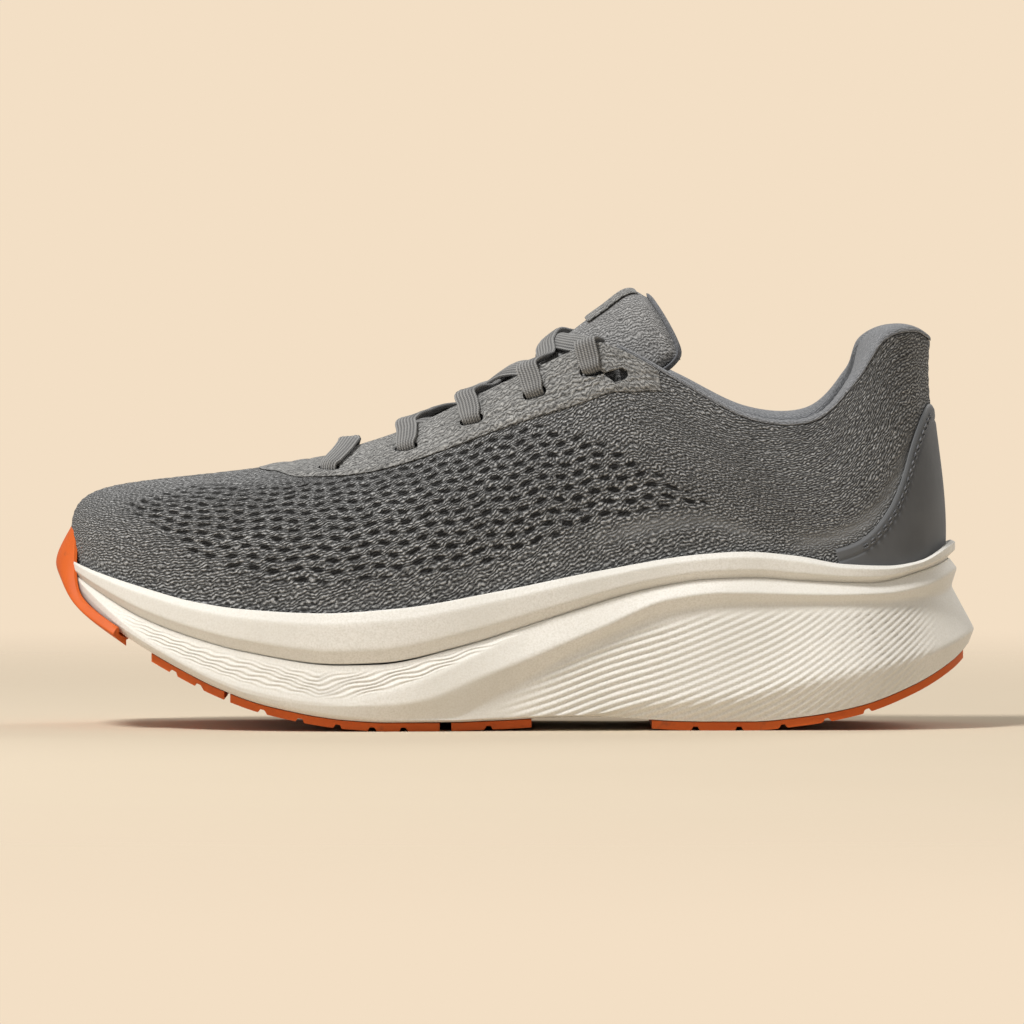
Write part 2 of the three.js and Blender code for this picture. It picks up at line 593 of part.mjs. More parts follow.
const paddingAt = through(PADDING);
const pad = (turn, v) => {
  const side = sideOf(turn);
  const start = 0.58;
  if (side < start) return 0;
  const risen = THREE.MathUtils.smoothstep(v, 0.42, 0.8);
  return paddingAt(side) * risen * THREE.MathUtils.smoothstep(side, start, 0.64);
};
// The lining's outer face lies behind the knit, the heel stiffener and the padding.
const behindKnit = KNIT + GAP;
const COUNTER_FROM = 0.72; // turn where the heel stiffener begins, at its foot
const counterRoom = (turn) =>
  (COUNTER + 1.3 * GAP) * THREE.MathUtils.smoothstep(sideOf(turn), 0.66, COUNTER_FROM);
const liningDepth = (turn, v) => behindKnit + counterRoom(turn) + pad(turn, v);

// ---------------------------------------------------------------- eyelets
const eyeletFrame = (index, inner) => {
  const [side, v] = EYELETS[index];
  const turn = inner ? opposite(side) : side;
  const [centre, normal, up] = [surface(turn, v), surfaceNormal(turn, v), upDirection(turn, v)];
  const along = new THREE.Vector3().crossVectors(up, normal).normalize();
  return { turn, v, centre, normal, up: new THREE.Vector3().crossVectors(normal, along).normalize(), along };
};

function eyeletCutter(index, inner) {
  const { centre, normal, up, along } = eyeletFrame(index, inner);
  const radius = EYELET_WIDTH / 2;
  const half = EYELET_LENGTH / 2 - radius;
  const slot = new THREE.Shape();
  slot.absarc(half, 0, radius, -Math.PI / 2, Math.PI / 2, false);
  slot.absarc(-half, 0, radius, Math.PI / 2, (3 * Math.PI) / 2, false);
  const depth = 16;
  const made = new THREE.ExtrudeGeometry(slot, { depth, bevelEnabled: false, curveSegments: 3 });
  made.translate(0, 0, -depth / 2);
  made.applyMatrix4(new THREE.Matrix4().makeBasis(along, up, normal).setPosition(centre));
  return toSolid(made);
}
const eyeletCutters = EYELETS.flatMap((_, i) => [eyeletCutter(i, false), eyeletCutter(i, true)]);

// ---------------------------------------------------------------- upper pieces
const knitUpper = () => cut(sheet({ round: true }, 0, KNIT), eyeletCutters);

// The overlay and its backing run up one side of the throat, round its bottom and up the other side.
const EYESTAY_END = 0.655;
const eyestayFoot = through([
  [0, 0.8], [0.2, 0.74], [0.35, 0.7], [0.5, 0.72], [0.6, 0.74], [EYESTAY_END, 0.86]]);
const BACKING_INSET = 0.03;
const eyestay = (inset) => ({
  from: -EYESTAY_END + inset,
  to: EYESTAY_END - inset,
  low: (turn) => eyestayFoot(sideOf(turn)) + inset,
  high: 1 - inset / 4,
});
const eyestayOverlay = () => cut(sheet(eyestay(0), -GAP - OVERLAY, -GAP), eyeletCutters);
const eyestayBacking = () =>
  cut(sheet(eyestay(BACKING_INSET), behindKnit, behindKnit + BACKING), eyeletCutters);

const PANEL_FOOT = 0.2; // the panel's lower edge, a share up the rib, just over the foam rim
const PANEL_TOP = 0.79;
const PANEL_FRONT = 0.775;
const panelTop = through([[PANEL_FRONT, PANEL_FOOT], [0.825, 0.33], [0.865, 0.47], [0.89, 0.58], [0.925, 0.7],
  [0.96, 0.77], [1, PANEL_TOP]]);
const heelPanel = () =>
  sheet(
    { from: PANEL_FRONT, to: opposite(PANEL_FRONT), low: PANEL_FOOT, high: (turn) => panelTop(sideOf(turn)) },
    -GAP - HEEL_PANEL, -GAP);

const counterEdge = through([[0, COUNTER_FROM + 0.02], [0.56, 0.87]]);
const heelCounter = () =>
  sheet({ from: counterEdge, to: (v) => opposite(counterEdge(v)), low: 0.04, high: 0.5 },
    behindKnit, behindKnit + COUNTER);

const PUFF_SIDE = 0.24;
const toePuff = () =>
  sheet({ from: -PUFF_SIDE, to: PUFF_SIDE, low: 0.04, high: 0.44 }, behindKnit, behindKnit + TOE_PUFF);

// Padding on one side of the collar, thinner than the space it fills by a gap on each face.
const FOAM_FROM = 0.67;
const FOAM_TO = 0.985;
const collarFoam = (inner) => {
  const turns = inner ? [opposite(FOAM_TO), opposite(FOAM_FROM)] : [FOAM_FROM, FOAM_TO];
  return sheet({ from: turns[0], to: turns[1], low: 0.6, high: 0.985 }, behindKnit,
    (turn, v) => Math.max(liningDepth(turn, v) - GAP, behindKnit + 1));
};

// The lining covers the padding inside and rolls over the topline to a seam on the outside.
const LINING_FROM = 0.63;
const LINING_FOOT = 0.04;
function collarLining() {
  const first = Math.ceil(LINING_FROM * SECTIONS);
  const rings = [];
  for (let i = first; i <= 2 * SECTIONS - first; i++) {
    const turn = i / SECTIONS;
    const far = liningDepth(turn, 1);
    const roll = (angle, extra) => { // round the top of the wall, from the seam to the inside
      const radius = far / 2 + extra;
      const depth = far / 2 - radius * Math.cos(angle);
      const rise = (ROLL_SHARE * far + extra) * Math.sin(angle) + ROLL_CLEARANCE;
      return layer(turn, 1, depth).addScaledVector(upDirection(turn, 1), rise);
    };
    const angles = [0, 0.3, 0.6, 0.85].map((s) => s * Math.PI);
    const walls = [...RIB_ROWS.slice(1).reverse(), LINING_FOOT];
    const face = (extra) => [
      ...angles.map((angle) => roll(angle, extra)),
      ...walls.map((v) => layer(turn, v, liningDepth(turn, v) + extra)),
    ];
    rings.push([...face(LINING), ...face(0).reverse()]);
  }
  return ringSolid(rings, { caps: true });
}
const ROLL_SHARE = 0.42; // height of the roll, as a share of the wall's thickness
const ROLL_CLEARANCE = 0.4; // between the roll and the knit's edge

// ---------------------------------------------------------------- tongue
const tongueLine = through(TONGUE_LINE);
const tongueArch = through(TONGUE_ARCH);

// A point of the tongue: share 0 is its root and 1 its tip, w -1 to 1 its width, depth inwards from its face.
function tonguePoint(share, w, depth) {
  const [x, z] = tongueLine(share);
  const [x1, z1] = tongueLine(Math.min(share + 0.02, 1));
  const [x0, z0] = tongueLine(Math.max(share - 0.02, 0));
  const along = new THREE.Vector2(SX * (x1 - x0), SZ * (z1 - z0)).normalize();
  const straight = THREE.MathUtils.smoothstep(share, 0.6, 0.8); // near the tip the sections keep one direction
  const tip = new THREE.Vector2(Math.cos(TIP_SLOPE), Math.sin(TIP_SLOPE));
  along.lerp(tip, straight).normalize();
  const [middle, half, drop] = tongueArch(share);
  const angle = w * THREE.MathUtils.degToRad(TONGUE_SPAN);
  const y = SY * half * Math.sin(angle);
  const fall = SZ * drop * (1 - Math.cos(angle));
  const slopeY = SY * half * Math.cos(angle);
  const slopeFall = SZ * drop * Math.sin(angle);
  const size = Math.hypot(slopeY, slopeFall);
  const sunk = depth + TONGUE_SUNK;
  const inY = (-slopeFall / size) * sunk;
  const inFall = (slopeY / size) * sunk;
  const total = fall + inFall;
  return new THREE.Vector3(SX * x + along.y * total, SY * middle + y + inY, SZ * z - along.x * total);
}
const TIP_SLOPE = THREE.MathUtils.degToRad(34);
// The tongue is drawn for a wall and a lace of this thickness over it, and lies deeper under thicker ones.
const TONGUE_SUNK = KNIT + BACKING + LACE - DRAWN.wall;

// The flap's free edge is rounded: the middle reaches further than the sides.
const tipShare = (w) => 1 - 0.05 * w ** 4;
function tongueSheet(from, toAt, outer, inner, countA, countB, halfSpan = 1) {
  const rings = steps(countA).map((a) => {
    const w = lerp(-halfSpan, halfSpan, a);
    const face = (depth) => steps(countB).map((b) => tonguePoint(lerp(from, toAt(w), b), w, depth));
    return [...face(outer), ...face(inner).reverse()];
  });
  return ringSolid(rings, { caps: true });
}
const TONGUE_LAYERS = {
  face: [0, TONGUE_FACE],
  foam: [TONGUE_FACE + GAP, TONGUE_FACE + GAP + TONGUE_FOAM],
  lining: [TONGUE_FACE + 2 * GAP + TONGUE_FOAM, TONGUE_FACE + 2 * GAP + TONGUE_FOAM + TONGUE_LINING],
};
const TONGUE_THICK = TONGUE_LAYERS.lining[1];
const FLAP_GAP = 0.004 / SX; // share of the tongue left open on each side of the flap's start
const lowerTongue = ([outer, inner]) => tongueSheet(0, () => FLAP_START - FLAP_GAP, outer, inner, 10, 7);
const flapTongue = ([outer, inner]) =>
  tongueSheet(FLAP_START + FLAP_GAP, (w) => tipShare(w) - 0.015, outer, inner, 10, 4, 0.96);

// Binding folded over the flap's edge: down one side, round the tip and down the other.
function tongueBinding() {
  const path = [];
  const corner = 0.985;
  steps(5).slice(0, -1).forEach((s) => path.push([lerp(FLAP_START + FLAP_GAP, 0.9, s), -1]));
  steps(12).forEach((s) => path.push([tipShare(lerp(-1, 1, s)) - 0.01, lerp(-corner, corner, s)]));
  steps(5).slice(1).forEach((s) => path.push([lerp(0.9, FLAP_START + FLAP_GAP, s), 1]));
  const rings = path.map(([share, w], i) => {
    const [before, after] = [path[Math.max(i - 1, 0)], path[Math.min(i + 1, path.length - 1)]];
    const here = tonguePoint(share, w, TONGUE_THICK / 2);
    const fromHere = tonguePoint(...before, TONGUE_THICK / 2);
    const along = tonguePoint(...after, TONGUE_THICK / 2).sub(fromHere).normalize();
    const across = tonguePoint(share, w, 0).sub(tonguePoint(share, w, TONGUE_THICK)).normalize();
    const outward = new THREE.Vector3().crossVectors(across, along).normalize();
    const inside = tonguePoint(0.84, 0, TONGUE_THICK / 2);
    if (outward.dot(here.clone().sub(inside)) < 0) outward.negate();
    const half = TONGUE_THICK / 2;
    const at = (out, up) => here.clone().addScaledVector(outward, out).addScaledVector(across, up);
    return [at(BINDING_CLEAR, -half), at(BINDING_CLEAR, half), at(BINDING_CLEAR + TONGUE_BINDING, half * 0.6),
      at(BINDING_CLEAR + TONGUE_BINDING, -half * 0.6)];
  });
  return ringSolid(rings, { caps: true });
}
const BINDING_CLEAR = 0.5;

// A smooth strip down the middle of the flap's face.
const PANEL_SPAN = 0.22;
const flapPanel = () =>
  tongueSheet(FLAP_START + 0.02, () => 0.95, -GAP - 1, -GAP - 0.2, 6, 4, PANEL_SPAN);

// ---------------------------------------------------------------- lace
// The lace runs from the bar at the bottom of the throat up both sides at once. Each half passes under the
// edge of the opposite side, up through the next eyelet and back over the edge. At the last eyelets it goes
// down through the hole, and its end is tucked inside along the wall.
// A lace wider than the drawn one stands further off the curved wall, by its bow.
const WALL_RADIUS = 20;
const bow = (LACE_WIDTH ** 2 - DRAWN.lace ** 2) / (8 * WALL_RADIUS);
const overFace = OVERLAY + GAP + LACE_CLEARANCE + LACE / 2 + bow;
const underFace = KNIT + GAP + BACKING + LACE_CLEARANCE + LACE / 2 + bow;
const onTongue = 2 * LACE_CLEARANCE + LACE / 2;
const CROSSING = LACE + LACE_CLEARANCE; // height of one strand over the other
const SLOT_LACE = 0.5; // the lace narrows to this share of its width in an eyelet
const END_LACE = 0.36; // and to this share in its aglet
// Tail of the lace: [turn, share up the rib, depth behind the upper's face].
const TAIL = [
  [0.596, 0.82, 5.2], [0.596, 0.7, 5.2], [0.585, 0.5, 4.9], [0.55, 0.33, 5], [0.48, 0.25, 5.4], [0.42, 0.24, 6.4],
  [0.36, 0.24, 8.5]];

const key = (p, across, width = 1) => ({ p, across, width });
// A point by an eyelet: this far up towards the throat's edge, at this depth behind the upper's face.
function byEyelet(f, up, depth) {
  const room = surface(f.turn, 1).distanceTo(f.centre);
  return layer(f.turn, f.v + ((1 - f.v) * up) / room, depth);
}
const atEdge = (f, share, depth) => layer(f.turn, lerp(f.v, 1, share), depth);

// Keys of one eyelet, from the throat's edge outside to the edge inside.
const EDGE_LIFT = 1.6;
const eyeletKeys = (f) => [
  key(atEdge(f, 1, -overFace - EDGE_LIFT), f.along),
  key(atEdge(f, 0.6, -overFace - EDGE_LIFT / 2), f.along),
  key(byEyelet(f, 3, -overFace - 0.1), f.along, 0.85),
  key(byEyelet(f, 0, -overFace + 0.5), f.along, SLOT_LACE),
  key(byEyelet(f, 0, underFace - 0.3), f.along, SLOT_LACE),
  key(byEyelet(f, 3, underFace + 0.95), f.along, 0.85),
  key(atEdge(f, 0.7, underFace + 0.8), f.along),
  key(atEdge(f, 1, underFace + 0.4), f.along),
];

const tongueShareAt = (x) => {
  let [low, high] = [0, 1];
  for (let i = 0; i < 30; i++) {
    const middle = (low + high) / 2;
    if (SX * tongueLine(middle)[0] < x) low = middle;
    else high = middle;
  }
  return (low + high) / 2;
};

// Keys across the tongue between two edges, resting on its face or on the other strand.
function crossing(from, to, lift) {
  return [0.2, 0.35, 0.5, 0.65, 0.8].map((s) => {
    const straight = from.p.clone().lerp(to.p, s);
    const share = tongueShareAt(straight.x);
    const [middle, half] = tongueArch(share);
    const w = Math.asin((straight.y - SY * middle) / (SY * half)) / THREE.MathUtils.degToRad(TONGUE_SPAN);
    const rest = tonguePoint(share, w, -onTongue);
    rest.z = Math.max(rest.z, straight.z) + lift * CROSSING * Math.sin(Math.PI * s);
    const across = tonguePoint(share + 0.03, w, 0).sub(tonguePoint(share - 0.03, w, 0)).normalize();
    return key(rest, across);
  });
}

function tailKeys(inner) {
  const points = TAIL.map(([side, v, depth]) => {
    const turn = inner ? opposite(side) : side;
    return { turn, v, p: layer(turn, v, depth) };
  });
  return points.map(({ turn, v, p }, i) => {
    const before = points[Math.max(i - 1, 0)].p;
    const after = points[Math.min(i + 1, points.length - 1)].p;
    const wall = surfaceNormal(turn, v);
    const width = i === points.length - 1 ? END_LACE : 1;
    return key(p, wall.cross(after.clone().sub(before)).normalize(), width);
  });
}

function laceHalf(startInner, lift) {
  const keys = [...eyeletKeys(eyeletFrame(0, startInner))];
  let inner = startInner;
  for (let i = 1; i < LACED; i++) {
    inner = !inner;
    const next = eyeletKeys(eyeletFrame(i, inner));
    if (i < LACED - 1) next.reverse();
    keys.push(...crossing(keys.at(-1), next[0], lift), ...next);
  }
  keys.splice(-3); // the last eyelet's hole leads down to the tail
  keys.push(...tailKeys(inner));
  return keys;
}

function lacePath() {
  const [first, second] = [laceHalf(false, 0), laceHalf(true, 1)];
  const bar = crossing(first[0], second[0], 0);
  const all = [...first.reverse(), ...bar, ...second];
  for (let i = 1; i < all.length; i++)
    if (all[i].across.dot(all[i - 1].across) < 0) all[i].across = all[i].across.clone().negate();
  return all;
}

const LACE_STEP = 4; // length of one section
function laceSections() {
  const keys = lacePath();
  const curve = new THREE.CatmullRomCurve3(keys.map((k) => k.p), false, "centripetal");
  const count = keys.length - 1;
  const found = [];
  for (let i = 0; i < count; i++) {
    const span = keys[i].p.distanceTo(keys[i + 1].p);
    const cuts = Math.max(1, Math.round(span / LACE_STEP));
    for (let c = 0; c < cuts; c++) found.push((i + c / cuts) / count);
  }
  found.push(1);
  return found.map((t) => {
    const i = Math.min(Math.floor(t * count), count - 1);
    const s = t * count - i;
    const centre = curve.getPoint(t);
    const tangent = curve.getTangent(t);
    const across = keys[i].across.clone().lerp(keys[i + 1].across, s);
    across.addScaledVector(tangent, -across.dot(tangent)).normalize();
    const width = lerp(keys[i].width, keys[i + 1].width, s);
    return { centre, tangent, across, width };
  });
}

function shoelace() {
  const rings = laceSections().map(({ centre, tangent, across, width }) => {
    const face = new THREE.Vector3().crossVectors(tangent, across).normalize();
    const [w, t] = [(LACE_WIDTH * width) / 2, LACE / 2];
    return [[-w, -t], [w, -t], [w, t], [-w, t]].map(([a, b]) =>
      centre.clone().addScaledVector(across, a).addScaledVector(face, b));
  });
  return ringSolid(rings, { caps: true });
}

function aglet(end) {
  const sections = laceSections();
  const { centre, tangent } = sections.at(end);
  const outward = tangent.clone().multiplyScalar(end === 0 ? -1 : 1);
  const made = new THREE.CylinderGeometry(AGLET_RADIUS, AGLET_RADIUS, AGLET_LENGTH, 12);
  const turned = new THREE.Quaternion().setFromUnitVectors(new THREE.Vector3(0, 1, 0), outward);
  made.applyQuaternion(turned);
  const middle = centre.clone().addScaledVector(outward, GAP + AGLET_LENGTH / 2);
  made.translate(middle.x, middle.y, middle.z);
  return made;
}

// ---------------------------------------------------------------- materials
const matte = (name, color, roughness = 0.9) =>
  new THREE.MeshStandardMaterial({ name, color, roughness, metalness: 0 });
const MATERIALS = {
  foam: matte("midsole_foam", 0xd9d2c4, 0.75),
  rubber: matte("outsole_rubber", 0xc45a26, 0.7),
  knit: matte("upper_knit", 0x74757a),
  film: matte("overlay_film", 0x7d7e83, 0.6),
  panel: matte("heel_panel", 0x6b6f77, 0.6),
  lining: matte("lining_knit", 0x83858b),
  board: matte("strobel_fabric", 0xb9b4a8),
  stiffener: matte("stiffener_board", 0xcfcabd, 0.8),
  padding: matte("padding_foam", 0xd4d0c2),
  lace: matte("lace_weave", 0x7b7d82),
  aglet: matte("aglet_plastic", 0x55585e, 0.35),
};

// ---------------------------------------------------------------- assembly
const group = new THREE.Group();
group.name = "running_shoe";
function put(name, geometry, material) {
  const mesh = new THREE.Mesh(geometry, material);
  mesh.name = name;
  group.add(mesh);
}

function putSole() {
  put("midsole_top_layer", topLayer(), MATERIALS.foam);
  put("midsole_carrier", carrier(), MATERIALS.foam);
  put("outsole_toe_wrap", toeBumper(), MATERIALS.rubber);
  for (const [side, low, high] of [["lateral", 0, 0.5 - MIDDLE_SLOT], ["medial", 0.5 + MIDDLE_SLOT, 1]]) {
    POD_ROWS.forEach(([from, to, grooves], i) => {
      const made = pod(from, to, low, high, 7);
      put(`outsole_forefoot_${side}_${i + 1}`, cut(made, grooves.map(grooveCutter)), MATERIALS.rubber);
    });
    const [from, to, grooves] = HEEL_PODS;
    put(`outsole_heel_${side}`, cut(pod(from, to, low, high, 12), grooves.map(grooveCutter)), MATERIALS.rubber);
  }
}

const rise = (amount) => () => amount;
const sockEdge = (x) => 5 * THREE.MathUtils.smoothstep(x / SX, -60, 60);
function putFootbed() {
  const sockInset = RIB_FOOT_IN + KNIT + SOCK_CLEARANCE;
  const foamLow = STROBEL + 2 * GAP;
  put("strobel_board", footBoard(RIB_FOOT_IN + KNIT + GAP, GAP, GAP + STROBEL, rise(0), SECTIONS),
    MATERIALS.board);
  put("sockliner", footBoard(sockInset + 3, foamLow, foamLow + SOCK_FOAM, sockEdge, SECTIONS),
    MATERIALS.padding);
  const coverLow = foamLow + SOCK_FOAM + 2 * GAP;
  put("sockliner_cover", footBoard(sockInset + 3, coverLow, coverLow + SOCK_COVER, sockEdge, SECTIONS),
    MATERIALS.lining);
}

function putUpper() {
  put("knit_upper", knitUpper(), MATERIALS.knit);
  put("heel_counter", heelCounter(), MATERIALS.stiffener);
  put("toe_puff", toePuff(), MATERIALS.stiffener);
  put("collar_foam_lateral", collarFoam(false), MATERIALS.padding);
  put("collar_foam_medial", collarFoam(true), MATERIALS.padding);
  put("collar_lining", collarLining(), MATERIALS.lining);
  put("eyestay_backing", eyestayBacking(), MATERIALS.board);
  put("eyestay_overlay", eyestayOverlay(), MATERIALS.film);
  put("heel_panel", heelPanel(), MATERIALS.panel);
}

function putTongue() {
  const made = { face: MATERIALS.knit, foam: MATERIALS.padding, lining: MATERIALS.lining };
  for (const [name, material] of Object.entries(made)) {
    put(`tongue_lower_${name}`, lowerTongue(TONGUE_LAYERS[name]), material);
    put(`tongue_flap_${name}`, flapTongue(TONGUE_LAYERS[name]), material);
  }
  put("tongue_flap_binding", tongueBinding(), MATERIALS.lining);
  put("tongue_flap_panel", flapPanel(), MATERIALS.film);
}

function putLace() {
  put("shoelace", shoelace(), MATERIALS.lace);
  put("aglet_lateral", aglet(-1), MATERIALS.aglet);
  put("aglet_medial", aglet(0), MATERIALS.aglet);
}

putSole();
putFootbed();
putUpper();
putTongue();
putLace();

export default group;
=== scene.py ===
"""A left running shoe, dressed round its CAD frame.

Shapes are worked out in millimetres and written in metres. +X runs from the toe to the heel, -Y is the outer
side, +Z is up. "Turn" runs round the shoe: 0 at the toe, 0 to 1 the outer side, 1 at the heel, and 1 to 2 the
inner side.
"""
import bmesh
import bpy
import numpy as np
from math import pi, radians
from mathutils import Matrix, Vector


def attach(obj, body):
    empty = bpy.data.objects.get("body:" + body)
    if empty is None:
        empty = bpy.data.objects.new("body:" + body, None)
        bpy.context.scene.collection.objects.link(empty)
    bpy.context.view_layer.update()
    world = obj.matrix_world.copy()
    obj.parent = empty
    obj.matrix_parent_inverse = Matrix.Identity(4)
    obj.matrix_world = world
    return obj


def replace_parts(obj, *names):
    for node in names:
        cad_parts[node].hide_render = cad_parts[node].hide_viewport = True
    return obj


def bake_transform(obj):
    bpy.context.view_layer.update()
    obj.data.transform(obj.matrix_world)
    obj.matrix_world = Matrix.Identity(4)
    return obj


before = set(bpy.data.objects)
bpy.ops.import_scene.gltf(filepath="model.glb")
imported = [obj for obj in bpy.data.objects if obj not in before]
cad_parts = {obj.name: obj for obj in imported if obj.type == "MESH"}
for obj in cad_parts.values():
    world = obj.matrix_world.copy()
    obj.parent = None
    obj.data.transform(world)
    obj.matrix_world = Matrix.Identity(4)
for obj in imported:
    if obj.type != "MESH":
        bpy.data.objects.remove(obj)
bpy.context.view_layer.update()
MM = 0.001

# ------------------------------------------------------------------ sizes and outlines, as in the CAD part
GAP = 0.3
PARTING = 0.6
KNIT = 2.2
OVERLAY = 0.6
BACKING = 0.8
HEEL_PANEL = 0.9
COUNTER = 1.4
LINING = 1.1
RUBBER = 2.6
STROBEL = 1.5
SOCK_FOAM = 4.2
SOCK_COVER = 0.8
TOP_FOAM = 8
LACE_WIDTH = 6.4
LACE = 1.4
LACE_CLEARANCE = 0.45
EYELET_LENGTH = 8
EYELET_WIDTH = 5.4
TONGUE_SPAN = 80
TONGUE_THICK = 6.6
FLAP_START = 0.755
RIB_FOOT_IN = 2.9
CLOTH_HEIGHT = 62.0  # of the knit from the foam to the topline, on its pattern

TOE_X, HEEL_X, TOE_Y = -145, 140, 7
OUTER_Y = [-15, -34, -46.5, -51, -47, -41, -38, -35.8, -22.5]
INNER_Y = [28.5, 42.5, 49.5, 49, 40, 34.5, 34.5, 34.8, 22.5]
BITE = [[-145, 54.4], [-134, 50.2], [-118, 45.3], [-102, 41.1], [-86, 38.8], [-61, 37.6], [-37, 39.1],
        [-4.5, 44.6], [28, 51.1], [60, 56.2], [74, 57], [90, 55.7], [106, 53], [120, 52.4], [130, 53.8],
        [142, 60.5]]
CREASE = [[-144.5, 51.6], [-134, 44.6], [-118, 35.8], [-102, 30], [-86, 25.8], [-56, 21.6], [-43, 21.9],
          [-17, 27.4], [12, 36.5], [44, 45.9], [62, 48.7], [77, 49.2], [93, 48.2], [114, 47.5], [133, 51.8],
          [143, 55.8]]
RIDGE = [[-143, 49.5], [-131, 38.8], [-118, 29], [-102, 20], [-86, 13.8], [-69, 10.2], [-55, 8.9],
         [-42, 11.5], [-27, 17], [-4, 28.1], [14, 36.8], [40, 60]]
FACE_LOW = [[-143, 47], [-118, 27], [-86, 12.4], [-58, 8.2], [-39, 8.6], [-27, 10.5], [-12, 16.7],
            [7.5, 24.5], [28, 32.9], [50, 42], [67, 44], [102, 43.3], [119, 43.7], [132, 45.9], [143, 51]]
UNDER_FACE = [[-143, 40], [-86, 9], [-35, 3], [-19.5, 4.2], [-7.8, 9.9], [7.5, 18.3], [20, 25.5],
              [32, 31], [50, 37.5], [67, 40.2], [119, 41], [137, 43], [143, 46]]
FLANK = [[-143, 40], [-86, 8], [-35, 2], [0, 3.6], [28, 5.8], [41, 8.9], [67, 10.2], [93, 15.4],
         [119, 20.6], [137, 25.8], [150, 32]]
TREAD_LINE = [[-150, 53], [-146, 47.5], [-141, 40.5], [-134.5, 33.8], [-125, 27.3], [-115, 21.3],
              [-103.5, 15.1], [-95, 11], [-82.4, 6.3], [-72.7, 3.9], [-63, 2], [-53, 0.7], [-40, 0], [-22, 0],
              [-5, 0.5], [15, 1.4], [28, 1.5], [41, 0.8], [54, 0.1], [62, 0], [76, 0], [93, 1.6], [110.6, 5],
              [128, 11.5], [141, 19], [150, 27]]
FOOTBED = [[-145, 51], [-141, 47.8], [-134, 43.2], [-118, 36.4], [-102, 32.1], [-86, 29.8], [-61, 28.6],
           [-37, 30.1], [-4.5, 35.6], [28, 42.1], [60, 46.5], [74, 46.5], [90, 45.5], [106, 44.5], [120, 44],
           [141, 44.5]]
BITE_OUT = [[-145, 0.1], [-120, 0.8], [141, 1.4]]
BAND_OUT = [[-145, 0], [-120, 2.5], [100, 2.7], [140, 2.8]]
CREASE_OUT = [[-145, -0.7], [-120, 0.3], [140, 0.5]]
RIDGE_OUT = [[-145, -0.9], [-120, 2.6], [-60, 3.6], [-20, 3.4], [12, 1], [140, 1]]
FACE_LOW_OUT = [[-145, -1.1], [-120, 2.6], [-60, 3.6], [-10, 4.4], [50, 4], [140, 3.4]]
UNDER_FACE_OUT = [[-145, -1.4], [-120, 2.2], [-60, 3], [-15, 1.6], [30, 1.2], [140, 1.6]]
FLANK_OUT = [[-145, -1.8], [-120, 1.6], [-60, 2.4], [-5, 1.8], [30, 4], [60, 6.5], [95, 8.2], [140, 9]]
TREAD_OUT = [[-145, -2.4], [-120, 0.4], [-60, 0.6], [0, -1.5], [30, 1], [60, 3.4], [100, 5], [140, 7.4]]
TOPLINE = [[0, -60.5, 3.5, 0, 86.4], [0.1, -60, 3.4, 4.2, 86.5], [0.2, -57.5, 3.2, 8, 87.3],
           [0.3, -50, 3, 11.8, 89.8], [0.4, -33, 2.4, 15.8, 95.8], [0.5, -7, 1.4, 20, 108.4],
           [0.55, 9, 0.9, 23.6, 116], [0.6, 25.5, 0.4, 27.6, 123.2], [0.63, 32, 0.2, 29, 122.3],
           [0.66, 40, 0, 30.2, 118.6], [0.7, 54, 0, 32, 110.4], [0.75, 76, 0, 33.6, 98.9],
           [0.8, 96, 0, 31.6, 98.3], [0.85, 109.5, 0, 27.8, 110.4], [0.9, 119, 0, 22.6, 124],
           [0.95, 128.8, 0, 14.2, 127], [1, 134.7, 0, 0, 124.2]]
INNER_COLLAR_RISE = 2.5
RIBS = [[0, 5.5, 36, 78, 12], [0.1, 5.5, 33, 68, 12], [0.2, 5, 32, 47, 10], [0.3, 4.5, 34, 29, 8],
        [0.4, 4, 34, 21, 8], [0.5, 3, 32, 15, 10], [0.6, 2.5, 30, 9, 18], [0.7, 3, 28, 4, 22],
        [0.8, 4, 22, 3, 16], [0.9, 4.5, 26, 2, 20], [1, 5.5, 30, -3, 26]]
PADDING = [[0.58, 0.8], [0.64, 2], [0.7, 4], [0.76, 5.2], [0.82, 7.5], [0.88, 9.5], [1, 8]]
TONGUE_LINE = [[0, -74, 79.4], [0.12, -56, 82.2], [0.3, -33, 91.4], [0.47, -12, 104.2], [0.66, 11, 121.5],
               [0.82, 28, 134.4], [0.93, 38, 140.6], [1, 43.5, 139.4]]
TONGUE_ARCH = [[0, 3.5, 22, 9], [0.12, 3.4, 22, 10], [0.3, 2.4, 23, 14], [0.47, 1.6, 23.5, 19],
               [0.66, 0.9, 24.5, 28], [0.76, 0.6, 23, 32], [0.86, 0.3, 21.2, 33], [1, 0, 18.5, 32]]
EYELETS = [[0.285, 0.8], [0.4, 0.815], [0.475, 0.83], [0.54, 0.845], [0.595, 0.865], [0.626, 0.845]]
LACED = 5
TAIL = [[0.596, 0.82, 5.2], [0.596, 0.7, 5.2], [0.585, 0.5, 4.9], [0.55, 0.33, 5], [0.48, 0.25, 5.4],
        [0.42, 0.24, 6.4], [0.36, 0.24, 8.5]]


# ------------------------------------------------------------------ curves
def lerp(a, b, s):
    return a + (b - a) * s


def smoothstep(x, low, high):
    s = np.clip((x - low) / (high - low), 0, 1)
    return s * s * (3 - 2 * s)


def unit(v):
    return v / np.maximum(np.linalg.norm(v, axis=-1, keepdims=True), 1e-12)


